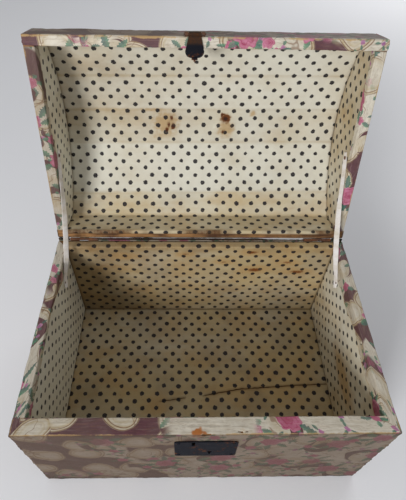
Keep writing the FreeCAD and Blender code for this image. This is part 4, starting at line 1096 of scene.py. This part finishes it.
    def trim(self, planes, points, v, u, outer, normal, bend_row, in_row):
        """Cut each column off where the cloth ends: a ragged way down the inside, or at the top of the frayed
        lip at the back. Rows past the cut gather on it. Gives the points, their run and the cut's run."""
        on_back, left, right = faces(normal, 1, 1), faces(normal, 0, -1), faces(normal, 0, 1)
        tear = torn(u, (21, 2.2, 60), (22, 1.0, 9))
        depth = outer[:, 1] / planes.half_depth
        inside = 11 * MM + tear
        on_left = np.interp(depth, *LEFT_TURN_IN) * MM
        on_right = np.interp(depth, *RIGHT_TURN_IN) * MM
        inside = np.where(left, on_left + 0.7 * tear, np.where(right, on_right + tear, inside))
        slit = plateau(outer[:, 0], SLIT_X, SLIT_HALF, 8 * MM)
        standing = LIP_HEIGHT - 1.7 * MM * slit + 0.3 * tear
        lip = np.where(np.abs(np.abs(outer[:, 0]) - planes.hinge_x) < HINGE_CUT, 0.6 * MM, standing)
        last = np.where(on_back, v[bend_row] + lip, v[in_row - 1] + np.maximum(inside, 1.5 * MM))
        before = np.clip((v < last).sum(0) - 1, 0, len(v) - 2)
        column = np.arange(len(u))
        share = (last - v[before, column]) / (v[before + 1, column] - v[before, column])
        cut = points[before, column] + (points[before + 1, column] - points[before, column]) * share[:, None]
        gone = v > last
        return np.where(gone[..., None], cut, points), np.minimum(v, last), last

    def creases(self, planes, u, v, x, y, on_rim):
        """Height of the cloth above its smooth surface: soft waves, ridges along the front rim and pleats at
        its corners."""
        uneven = waves(u, v, (31, 0.22, 26), (32, 0.14, 8))
        uneven = np.where(on_rim, -0.28 * MM + 0.9 * uneven, uneven)
        corner = np.hypot(np.abs(x) - planes.half_width, np.abs(y) - planes.half_depth)
        uneven = uneven + waves(u, v, (33, 0.5, 9)) * bump(corner, 6 * MM) * (y < 0)
        front_rim = on_rim & (y < planes.front_y)
        for start, end, height in CREASES:
            far, share = to_line(x, y, np.array(start) * MM, np.array(end) * MM)
            ridge = bump(far, 0.8 * MM) * np.sin(math.pi * share) ** 0.5
            uneven = uneven + np.where(front_rim, ridge * height * MM, 0)
        diagonal = np.abs(np.abs(x) - planes.inner_x + (y + planes.board_y) * 0.7)
        pleat = 0.3 * MM * bump(diagonal, 1.2 * MM)
        return uneven + np.where(on_rim & (np.abs(x) > planes.inner_x), pleat, 0)


class TRUNK_OT_lid_cloth(bpy.types.Operator):
    """Printed cloth over the dome and on the lid's two ends"""

    bl_idname = "trunk.lid_cloth"
    bl_label = "Lid cloth"

    def execute(self, context):
        sizes = context.scene.trunk_sizes
        planes = Planes(sizes)
        self.dome(planes, sizes)
        for name, side in SIDES.items():
            self.end(planes, sizes, name, side)
        return {"FINISHED"}

    def dome(self, planes, sizes):
        """Profile of the shut lid from the turn-in over the front, the arc and the back, with rounded bends,
        carried along X; past each end it rounds the edge and laps onto it by a ragged few millimetres."""
        inner = planes.lid_y - sizes.cloth
        reach = math.asin(planes.half_depth / planes.radius)
        angle = np.linspace(-reach, reach, 90)
        arc = np.stack((planes.radius * np.sin(angle), planes.dome_z + planes.radius * np.cos(angle)), 1)
        start = np.array([(-inner, planes.rim + sizes.turn_in), (-inner, planes.rim),
                          (-planes.half_depth, planes.rim)])
        stop = np.array([(planes.half_depth, planes.rim + 0.6 * MM)])
        line = soften(np.concatenate((start, arc, stop)), 1.2 * MM, 1.0 * MM)
        run = run_along(line)
        tangent = np.gradient(line, axis=0)
        inward = np.stack((tangent[:, 1], -tangent[:, 0]), 1)
        inward /= np.linalg.norm(inward, axis=1, keepdims=True)
        rim_run = run[np.argmin(np.hypot(line[:, 0] + planes.half_depth, line[:, 1] - planes.rim))]
        outside = run > rim_run + 2.5 * MM
        on_rim = (line[:, 0] < -inner - 0.6 * MM) & ~outside

        bend = np.linspace(0, math.pi / 2, 6)
        radius = 2.0 * MM
        edge = planes.half_width + 0.3 * MM
        flat_x = np.linspace(-edge + radius, edge - radius, 180)
        turn_x, turn_in = edge - radius * (1 - np.sin(bend[1:])), radius * (1 - np.cos(bend[1:]))
        lap = np.linspace(0, 1, 7)[1:]
        half_x = np.concatenate((turn_x, np.full(len(lap), edge)))
        x = np.concatenate((-half_x[::-1], flat_x, half_x))
        lap_share = np.concatenate((lap[::-1], np.zeros(len(x) - 2 * len(lap)), lap))
        half_inset = np.concatenate((turn_in, np.full(len(lap), radius)))
        inset = np.concatenate((half_inset[::-1], flat_x * 0, half_inset))
        lap_reach = 8 * MM
        ragged = lap_reach + torn(run, (51, 1.6, 22), (52, 0.7, 5))
        depth = (inset[None] + lap_share[None] * ragged[:, None]) * outside[:, None]
        limit = np.where(on_rim, planes.half_width, planes.inner_x) - 0.4 * MM
        limit = np.where(outside, 1, limit)
        points = np.zeros((len(run), len(x), 3))
        points[..., 0] = np.clip(x[None], -limit[:, None], limit[:, None])
        points[..., 1:] = line[:, None] + inward[:, None] * depth[..., None]
        v, u = np.broadcast_arrays(run[:, None], (x + np.sign(x) * lap_share * lap_reach)[None])
        uneven = waves(u, v, (53, 0.35, 40), (54, 0.15, 11))
        uneven = np.where(on_rim[:, None], -0.15 * MM + 0.5 * uneven, uneven)
        uneven = uneven * np.where(run > run[-1] - 9 * MM, 0.2, 1)[:, None]
        start_run = 8 * MM + 5 * MM * np.clip(x / 0.05, -0.6, 1) + torn(x, (55, 1.8, 55), (56, 0.9, 8))
        start_run = np.clip(start_run, 0, sizes.turn_in - 1 * MM)
        gone = run[:, None] < start_run[None]
        first = np.clip(gone.sum(0), 0, len(run) - 1)
        points = np.where(gone[..., None], points[first, np.arange(len(x))][None], points)
        points = points - normals(points, False) * uneven[..., None]
        points[..., 2] = np.maximum(points[..., 2], planes.rim - 0.1 * MM)
        shoulders = np.abs(np.abs(points[..., 1]) - planes.half_depth)
        shoulders = shoulders + np.abs(points[..., 2] - planes.shoulder)
        rubbed = np.maximum(bump(v - rim_run, 1.8 * MM), bump(shoulders, 5 * MM) * 0.6)
        rubbed = np.maximum(rubbed, bump(edge - np.abs(points[..., 0]), 1.3 * MM) * 0.6)
        rubbed = np.maximum(rubbed, bump(run[-1] - v, 3 * MM) * 0.9)
        # The outside of the lid's front gets heavy dirt that is painted shade on that band
        on_front = outside[:, None] & (points[..., 1] < -planes.half_depth + 6 * MM)
        soil_and_shade = np.where(on_front, 1.5, np.where(outside[:, None], 0.45, 0.12))
        soil_and_shade = soil_and_shade + 0.25 * bump(run[-1] - v, 30 * MM)
        lap_edge = 0.8 * (lap_share[None] > 0.97) * outside[:, None]
        marks = {"rubbed": rubbed, "soil_and_shade": soil_and_shade, "plain": 0.0, "rust": 0.0,
                 "scroll": 0.5 + 0.3 * ripple(57, u, v, 90 * MM), "worn": np.where(on_rim[:, None], 0.8, 0.4),
                 "raw": np.maximum(bump(v - start_run[None], 0.9 * MM), lap_edge)}
        piece = add_surface("lid_dome_cloth", planes.swing(points), gather(u, v), marks)
        finish_sheet(piece, "lid", "lid_dome_covering", "printed_cloth", CLOTH_THICK)

    def end(self, planes, sizes, name, side):
        """Arched panel: each column climbs from the turn-in over the rim and up the outside to the arc."""
        inner_y = planes.lid_y - sizes.cloth
        y = spaced((-planes.half_depth, 2.2 * MM), planes.half_depth)
        top = planes.dome_z + np.sqrt(planes.radius ** 2 - y ** 2) - 0.9 * MM
        inner_x, outer_x = planes.inner_x - sizes.cloth, planes.half_width - 0.1 * MM
        ragged = sizes.turn_in - 4 * MM + torn(y, (61 + side, 3, 50), (64, 0.9, 8))
        round_in = 1.2 * MM
        bend = np.linspace(0, math.pi / 2, 5)[1:]
        across = outer_x - inner_x - 2 * round_in
        rows = [(inner_x, planes.rim + round_in + share * (ragged - round_in))
                for share in np.linspace(1, 0, 8)]
        rows += [(inner_x + round_in * (1 - math.cos(angle)), planes.rim + round_in * (1 - math.sin(angle)))
                 for angle in bend]
        rows += [(inner_x + round_in + share * across, planes.rim) for share in np.linspace(0, 1, 8)[1:]]
        rows += [(outer_x - round_in * (1 - math.sin(angle)), planes.rim + round_in * (1 - math.cos(angle)))
                 for angle in bend]
        rim_rows = len(rows)
        rows += [(outer_x, planes.rim + round_in + share * (top - planes.rim - round_in))
                 for share in np.linspace(0, 1, 34)[1:]]
        points = np.stack([gather(side * x, y, z) for x, z in rows])
        v = run_along(points)
        u = np.broadcast_to(y * side, v.shape)
        uneven = waves(u, v, (66 + side, 0.25, 30))
        level = np.arange(len(points))[:, None]
        uneven = np.where(level < rim_rows, -0.15 * MM + 0.3 * uneven, uneven)
        points = points + normals(points, False) * (uneven * side)[..., None]
        middle_y = (y[1:] + y[:-1]) / 2
        keep = (np.abs(middle_y)[None] < inner_y) | (np.arange(len(points) - 1)[:, None] >= rim_rows - 1)
        rim_edge = np.abs(v - v[rim_rows - 3])
        rubbed = np.maximum(bump(rim_edge, 1.8 * MM), 0.5 * bump(planes.half_depth - np.abs(u), 6 * MM))
        # The left end's rim is darker than the right as painted shade
        marks = {"rubbed": rubbed * 0.9, "soil_and_shade": np.where(level < rim_rows, 0.26 - 0.16 * side, 0.45),
                 "worn": np.where(level < rim_rows, 0.8, 0.4), "raw": bump(v, 0.9 * MM), "scroll": 0.48,
                 "plain": 0.0, "rust": 0.0}
        flat = gather(u + 0.31, v + 0.17 * side)
        piece = add_surface("lid_" + name + "_end_cloth", planes.swing(points), flat, marks, keep,
                            turned=side < 0)
        finish_sheet(piece, "lid", "lid_" + name + "_end_covering", "printed_cloth", CLOTH_THICK)


class TRUNK_OT_box_paper(bpy.types.Operator):
    """Dotted paper on the floor and the four walls of the box"""

    bl_idname = "trunk.box_paper"
    bl_label = "Box paper"

    def execute(self, context):
        planes = Planes(context.scene.trunk_sizes)
        lift = planes.lift
        self.floor(planes)
        low, across = planes.floor - 0.3 * MM, planes.inner_x
        rise = planes.top - 4 * MM - low
        deep = planes.back_y - planes.front_y
        over = planes.half_depth - planes.back_y + lift - 1.4 * MM
        self.wall("back", (-across, planes.back_y - lift, low), (1, 0, 0), (0, -1, 0), 2 * across,
                  planes.top - 0.2 * MM - low, over)
        self.wall("front", (across, planes.front_y + lift, low), (-1, 0, 0), (0, 1, 0), 2 * across, rise)
        self.wall("left_end", (-across + lift, planes.front_y, low), (0, 1, 0), (1, 0, 0), deep, rise)
        self.wall("right_end", (across - lift, planes.back_y, low), (0, -1, 0), (-1, 0, 0), deep, rise)
        return {"FINISHED"}

    def wall(self, name, corner, way, inward, wide, tall, over=0):
        """Upright sheet that bulges a little off its board; where over is given, it bends outwards and runs
        on over the rim by that much."""
        seed, age, even_dirt, left_painted_shade = WALLS[name]
        along = np.linspace(0, wide, int(wide / (3 * MM)) + 1)
        corners = [(0, 0), (0, tall)]
        if over:
            corners.append((over, tall))
        line = soften(np.array(corners), 2 * MM, 1.1 * MM)
        run = run_along(line)
        v, u = np.meshgrid(run, along, indexing="ij")
        edge = np.minimum(np.minimum(u, wide - u), v)
        swell = waves(u, v, (seed, 0.18, 45), (seed + 10, 0.10, 14))
        swell = np.clip(swell, -0.3 * MM, 0.5 * MM) * np.clip(edge / (6 * MM), 0, 1) * (v < tall - 4 * MM)
        points = (np.array(corner) + u[..., None] * np.array(way) + line[:, None, 1:] * np.array((0, 0, 1))
                  + (swell - line[:, None, 0])[..., None] * np.array(inward))
        rust, damp = np.zeros_like(u), np.zeros_like(u)
        for place, height, reach, strength in WALL_STAINS.get(name, ()):
            far = np.hypot((u - wide / 2 - place * MM) * 0.4, v - height * MM)
            rust = np.maximum(rust, strength * bump(far, reach * MM))
            damp = np.maximum(damp, 0.9 * bump(far, 2.2 * reach * MM))
        top = np.clip((v - tall + 14 * MM) / (10 * MM), 0, 1) * (over > 0)
        # Even dirt, and painted shade that darkens the back wall towards its left
        shade = even_dirt + left_painted_shade * np.clip(0.6 - u / wide, 0, 0.5)
        marks = {"aged": age + 0.18 * ripple(seed + 20, u, v, 120 * MM) + 0.1 * top,
                 "rust": np.maximum(rust, 0.36 * top), "damp": np.maximum(damp, 0.3 * top),
                 "soil_and_shade": seam_dirt_and_shade(edge) + shade + 0.12 * top}
        flat = gather(u + 0.0047 * seed, v + 0.0031 * seed)
        piece = add_surface(name + "_paper", points, flat, marks)
        finish_sheet(piece, "box", name + "_lining", "dotted_paper", WALL_PAPER_THICK)

    def floor(self, planes):
        """Flat sheet with a split in it: the rows of points near the split follow it, and three rows dip
        between two curled lips as wide as the split is open there."""
        split, width = np.array(SPLIT_COURSE) * MM, np.array(SPLIT_WIDTH) * MM
        x = np.linspace(-planes.inner_x, planes.inner_x, 151)
        line = np.interp(x, split[:, 0], split[:, 1]) + torn(x, (81, 0.35, 16))
        open_by = np.interp(x, width[:, 0], width[:, 1], left=0, right=0)
        open_by = np.maximum(open_by * (1 + 0.35 * ripple(82, x, x * 0, 11 * MM)), 0.08 * MM)
        front = np.linspace(1, 0, 26)
        back = np.linspace(0, 1, 42)
        rows = [line + (planes.front_y - line) * share for share in front]
        rows += [line + open_by * place for place in (0.25, 0.5, 0.75)]
        rows += [line + open_by + (planes.back_y - line - open_by) * share for share in back]
        y = np.stack(rows)
        xx = np.broadcast_to(x, y.shape)
        height = planes.floor - 0.2 * MM + waves(xx, y, (83, 0.12, 50))
        groove = np.zeros(len(rows))
        groove[len(front):len(front) + 3] = (0.6, 1, 0.6)
        off = np.minimum(np.abs(y - line), np.abs(y - line - open_by))
        opened = np.clip((open_by - 0.08 * MM) / (0.35 * MM), 0, 1)
        height = height + opened * (0.45 * MM * bump(off, 2.2 * MM)) - groove[:, None] * opened * 1.0 * MM
        points = gather(xx, y, height)
        edge = np.minimum(planes.inner_x - np.abs(xx), np.minimum(y - planes.front_y, planes.back_y - y))
        # Painted shade in the split, very dark in its groove and lighter on its lips, over dirt and painted
        # shade along the edges
        dark = np.maximum(groove[:, None] * opened * 4.0, seam_dirt_and_shade(edge) + 0.16)
        dark = np.maximum(dark, 0.5 * opened * bump(off, 0.6 * MM))
        damp = 0.7 * bump(np.hypot(xx + 0.055, y + 0.035), 0.02)
        marks = {"aged": 0.82 + 0.18 * ripple(84, xx, y, 130 * MM) + 0.06 * np.clip(xx / 0.16, -1, 1),
                 "rust": 0.5 * damp, "damp": damp, "soil_and_shade": dark}
        flat = gather(xx + FLOOR_CUT[0], y + FLOOR_CUT[1])
        piece = add_surface("floor_paper", points, flat, marks)
        finish_sheet(piece, "box", "floor_lining", "dotted_paper", PAPER_THICK)


class TRUNK_OT_lid_paper(bpy.types.Operator):
    """Dotted paper inside the dome and on the lid's two ends"""

    bl_idname = "trunk.lid_paper"
    bl_label = "Lid paper"

    def execute(self, context):
        sizes = context.scene.trunk_sizes
        planes = Planes(sizes)
        self.dome(planes)
        for name, side in SIDES.items():
            self.end(planes, sizes, name, side)
        return {"FINISHED"}

    def dome(self, planes):
        """Profile from the front wall over the arc to the back wall, carried along X. The arc is drawn to
        chords between creases, as paper over bent staves, and soft folds run along the creases. The paper
        rises over the clinched legs of the handle's eyes."""
        wall = planes.lid_y - planes.lift
        reach = math.asin(wall / planes.paper_radius)
        angle = np.linspace(-reach, reach, 96)
        creases = np.array((-reach, *np.radians((*FOLDS, 17, STRIP)), reach))
        cell = np.clip(np.searchsorted(creases, angle, "right") - 1, 0, len(creases) - 2)
        half = (creases[cell + 1] - creases[cell]) / 2
        chord = planes.paper_radius * np.cos(half) / np.cos(angle - creases[cell] - half)
        over_crown = cell == 2
        pull = np.where(over_crown, 0.2, 0.7)
        radius = planes.paper_radius + (chord - planes.paper_radius) * pull
        arc = np.stack((radius * np.sin(angle), planes.dome_z + radius * np.cos(angle)), 1)
        front_foot = np.array([(-wall, planes.rim + 1 * MM)])
        back_foot = np.array([(wall, planes.rim - 0.1 * MM), (wall + 4.0 * MM, planes.rim - 0.1 * MM)])
        line = soften(np.concatenate((front_foot, arc, back_foot)), 1.9 * MM, 1.1 * MM)
        run = run_along(line)
        x = np.linspace(-planes.inner_x + 0.2 * MM, planes.inner_x - 0.2 * MM, 181)
        v, u = np.meshgrid(run, x, indexing="ij")
        points = gather(u, line[:, :1], line[:, 1:])
        bearing = np.degrees(np.arctan2(points[..., 1], points[..., 2] - planes.dome_z))
        tilt = 0.6 * u / planes.inner_x
        crease = sum(bump(bearing - place + tilt, 0.55) for place in (*FOLDS, STRIP))
        uneven = waves(u, v, (91, 0.2, 60), (92, 0.1, 15)) + 0.25 * MM * crease
        strip = 0.35 * MM * np.clip((bearing - STRIP + tilt) / 0.4, 0, 1)
        for place in LEG_PLACES:
            past_end = np.maximum(np.abs(u - place * MM) - 8.5 * MM, 0)
            off = np.hypot(past_end, (bearing - LEG_BEARING) * 2.9 * MM)
            uneven = uneven + 1.7 * MM * np.clip(1.3 - off / (4.5 * MM), 0, 1) ** 1.5
        points = points - normals(points, False) * (uneven + strip)[..., None]
        points[..., 2] = np.maximum(points[..., 2], planes.rim - 0.1 * MM)
        rust, damp, middle = np.zeros_like(u), np.zeros_like(u), np.zeros_like(u)
        for place, turn, wide, tall, core, halo in LID_STAINS:
            far = np.hypot((u - place * MM) / (wide * MM), (bearing - turn) / tall)
            far = np.maximum(far + 0.25 * ripple(94, u, v, 6 * MM), 0)
            rust = np.maximum(rust, core * bump(far, 1))
            damp = np.maximum(damp, halo * bump(far, 1.2))
            middle = np.maximum(middle, (core > 0.8) * bump(far, 0.7))
        edge = np.minimum(planes.inner_x - np.abs(u), 1)
        low = np.clip((bearing - STRIP + tilt) / 0.5, 0, 1)
        at_back = (points[..., 1] > wall - 3 * MM) * 1.0
        middle_band = np.clip((bearing + 9) / 2, 0, 1) * np.clip((7.5 - bearing) / 2, 0, 1)
        aged = 0.04 + 0.5 * low + 0.1 * at_back + 0.2 * middle_band + 0.1 * ripple(93, u, v, 110 * MM)
        # The paper is yellowed along the folds, and towards the upper left it is darker, partly with age and
        # partly as painted shade
        aged = aged + 0.25 * crease + 0.25 * np.clip(0.2 - u / 0.16, 0, 1) * np.clip((6 - bearing) / 8, 0, 1)
        patches = sum(plateau(u, place * MM, wide * MM, 16 * MM) for place, wide in FOOT_PATCHES)
        brown = 0.3 + 0.4 * ripple(98, u, v, 22 * MM) + patches
        foot = at_back * bump(points[..., 2] - planes.rim, 4.5 * MM) * np.clip(brown, 0, 1)
        rust = np.maximum(rust, 0.55 * foot)
        damp = np.maximum(damp, 0.1 * at_back + 0.15 * low)
        # Painted shade greys the upper left of the dome; the rest is dirt and painted shade along the edges,
        # and dirt at the foot and in the stain middles
        upper_left_painted_shade = np.clip(0.4 - u / 0.16, 0, 1) * np.clip((8 - bearing) / 14, 0, 1)
        soil_and_shade = seam_dirt_and_shade(edge) + 0.25 * (1 - low) + 0.12 * upper_left_painted_shade + 0.75 * foot + 0.7 * middle
        flat = gather(u + DOME_CUT[0], v + DOME_CUT[1] + u * DOME_SLANT)
        marks = {"aged": aged, "rust": rust, "damp": damp, "soil_and_shade": soil_and_shade}
        piece = add_surface("lid_dome_paper", planes.swing(points), flat, marks, turned=True)
        finish_sheet(piece, "lid", "lid_dome_lining", "dotted_paper", PAPER_THICK)

    def end(self, planes, sizes, name, side):
        """Arched sheet: each column climbs from near the rim to the underside of the dome."""
        wall = planes.lid_y - sizes.paper
        y = spaced((-wall, 3 * MM), wall)
        top = planes.dome_z + np.sqrt(planes.paper_radius ** 2 - y ** 2) - 0.4 * MM
        foot = planes.rim + 4 * MM
        share = np.linspace(0, 1, 30)[:, None]
        z = foot + share * (top - foot)
        yy = np.broadcast_to(y, z.shape)
        swell = waves(yy, z, (95 + side, 0.15, 40))
        x = side * (planes.inner_x - planes.lift - np.clip(swell, -0.2 * MM, 0.4 * MM))
        points = gather(x, yy, z)
        edge = np.minimum(top - z, wall - np.abs(yy))
        marks = {"aged": 0.36 + 0.16 * side + 0.15 * ripple(97, yy, z, 90 * MM), "rust": 0.0, "damp": 0.0,
                 "soil_and_shade": seam_dirt_and_shade(edge) + 0.16 + 0.16 * side}
        flat = gather(yy * side + 0.41, z + 0.27 * side)
        piece = add_surface("lid_" + name + "_end_paper", planes.swing(points), flat, marks, turned=side > 0)
        finish_sheet(piece, "lid", "lid_" + name + "_end_lining", "dotted_paper", PAPER_THICK)


class TRUNK_OT_boards(bpy.types.Operator):
    """Finish of the boards that show at worn places, at the lid's back rim and underneath"""

    bl_idname = "trunk.boards"
    bl_label = "Boards"

    def execute(self, context):
        dress_solids("bare_board")
        return {"FINISHED"}


class TRUNK_OT_fittings(bpy.types.Operator):
    """Finish of the lock, hasp, hinges, handle, nails and tacks"""

    bl_idname = "trunk.fittings"
    bl_label = "Fittings"

    def execute(self, context):
        dress_solids("black_iron")
        dress_solids("rusty_iron")
        return {"FINISHED"}


class TRUNK_OT_stage(bpy.types.Operator):
    """Pale floor, soft studio light and the camera"""

    bl_idname = "trunk.stage"
    bl_label = "Stage"

    def execute(self, context):
        scene = context.scene
        scene.view_settings.view_transform = "Standard"
        self.floor(scene)
        self.world(scene)
        for name, settings in LAMPS.items():
            self.lamp(name, *settings)
        self.camera(scene)
        return {"FINISHED"}

    def floor(self, scene):
        """Wide flat sheet under the trunk."""
        reach = np.linspace(-14, 14, 3)
        x, y = np.meshgrid(reach, reach)
        points = gather(x, y, -0.4 * MM)
        piece = add_surface("floor", points, points[..., :2], {})
        finish = Finish("floor", 0.85, specular=0.2)
        shade = finish.noise(finish.place(), 420.0, 2.0)
        tint = scene.trunk_colours.floor
        finish.wear(shade.mix(tuple(0.97 * value for value in tint), tint))
        piece.data.materials.append(finish.material)

    def world(self, scene):
        """Even soft light all round, with the floor's own colour behind the trunk."""
        world = bpy.data.worlds.new("studio")
        world.use_nodes = True
        scene.world = world
        tree = world.node_tree
        soft = tree.nodes["Background"]
        soft.inputs["Color"].default_value = (0.96, 0.98, 1.0, 1)
        soft.inputs["Strength"].default_value = 0.36
        behind = tree.nodes.new("ShaderNodeBackground")
        behind.inputs["Color"].default_value = (*scene.trunk_colours.floor, 1)
        path = tree.nodes.new("ShaderNodeLightPath")
        seen = tree.nodes.new("ShaderNodeMath")
        seen.operation = "MAXIMUM"
        tree.links.new(path.outputs["Is Camera Ray"], seen.inputs[0])
        tree.links.new(path.outputs["Is Glossy Ray"], seen.inputs[1])
        mix = tree.nodes.new("ShaderNodeMixShader")
        tree.links.new(seen.outputs[0], mix.inputs[0])
        tree.links.new(soft.outputs[0], mix.inputs[1])
        tree.links.new(behind.outputs[0], mix.inputs[2])
        tree.links.new(mix.outputs[0], tree.nodes["World Output"].inputs[0])

    def lamp(self, name, place, target, size, power):
        """Square area lamp that faces a target."""
        lamp = bpy.data.lights.new(name, "AREA")
        lamp.size = size
        lamp.energy = power
        holder = add_object(name, lamp)
        holder.location = place
        holder.rotation_euler = (Vector(target) - Vector(place)).to_track_quat("-Z", "Y").to_euler()

    def camera(self, scene):
        """Camera above the front, with the place, turn and lens that the photograph's corners give."""
        yaw, pitch, roll = (math.radians(angle) for angle in CAMERA_TURN)
        forward = Vector((math.sin(yaw) * math.cos(pitch), math.cos(yaw) * math.cos(pitch), -math.sin(pitch)))
        level = Vector((math.cos(yaw), -math.sin(yaw), 0))
        above = level.cross(forward)
        right = math.cos(roll) * level + math.sin(roll) * above
        up = math.cos(roll) * above - math.sin(roll) * level
        data = bpy.data.cameras.new("camera")
        data.sensor_width = 36
        data.lens = CAMERA_FOCAL * data.sensor_width / CAMERA_PIXELS
        data.shift_x, data.shift_y = CAMERA_SHIFT
        holder = add_object("camera", data)
        turn = Matrix((right, up, -forward)).transposed()
        holder.matrix_world = Matrix.Translation(CAMERA_PLACE) @ turn.to_4x4()
        scene.camera = holder


class TRUNK_PT_panel(bpy.types.Panel):
    """Sidebar panel with the trunk's pieces, sizes and colours"""

    bl_idname = "TRUNK_PT_panel"
    bl_label = "Trunk"
    bl_space_type = "VIEW_3D"
    bl_region_type = "UI"
    bl_category = "Trunk"

    def draw(self, context):
        for operator in OPERATORS:
            self.layout.operator(operator.bl_idname)
        for group in (context.scene.trunk_sizes, context.scene.trunk_colours):
            column = self.layout.column(align=True)
            for key in group.__annotations__:
                column.prop(group, key)


OPERATORS = (TRUNK_OT_stage, TRUNK_OT_tapes, TRUNK_OT_box_cloth, TRUNK_OT_lid_cloth, TRUNK_OT_box_paper,
             TRUNK_OT_lid_paper, TRUNK_OT_boards, TRUNK_OT_fittings)
CLASSES = (TrunkSizes, TrunkColours) + OPERATORS + (TRUNK_PT_panel,)


def register():
    for item in CLASSES:
        bpy.utils.register_class(item)
    bpy.types.Scene.trunk_sizes = bpy.props.PointerProperty(type=TrunkSizes)
    bpy.types.Scene.trunk_colours = bpy.props.PointerProperty(type=TrunkColours)


def unregister():
    del bpy.types.Scene.trunk_colours
    del bpy.types.Scene.trunk_sizes
    for item in reversed(CLASSES):
        bpy.utils.unregister_class(item)


def main():
    register()
    bpy.ops.trunk.stage()
    bpy.ops.trunk.tapes()
    bpy.ops.trunk.box_cloth()
    bpy.ops.trunk.lid_cloth()
    bpy.ops.trunk.box_paper()
    bpy.ops.trunk.lid_paper()
    bpy.ops.trunk.boards()
    bpy.ops.trunk.fittings()


if __name__ == "__main__":
    main()
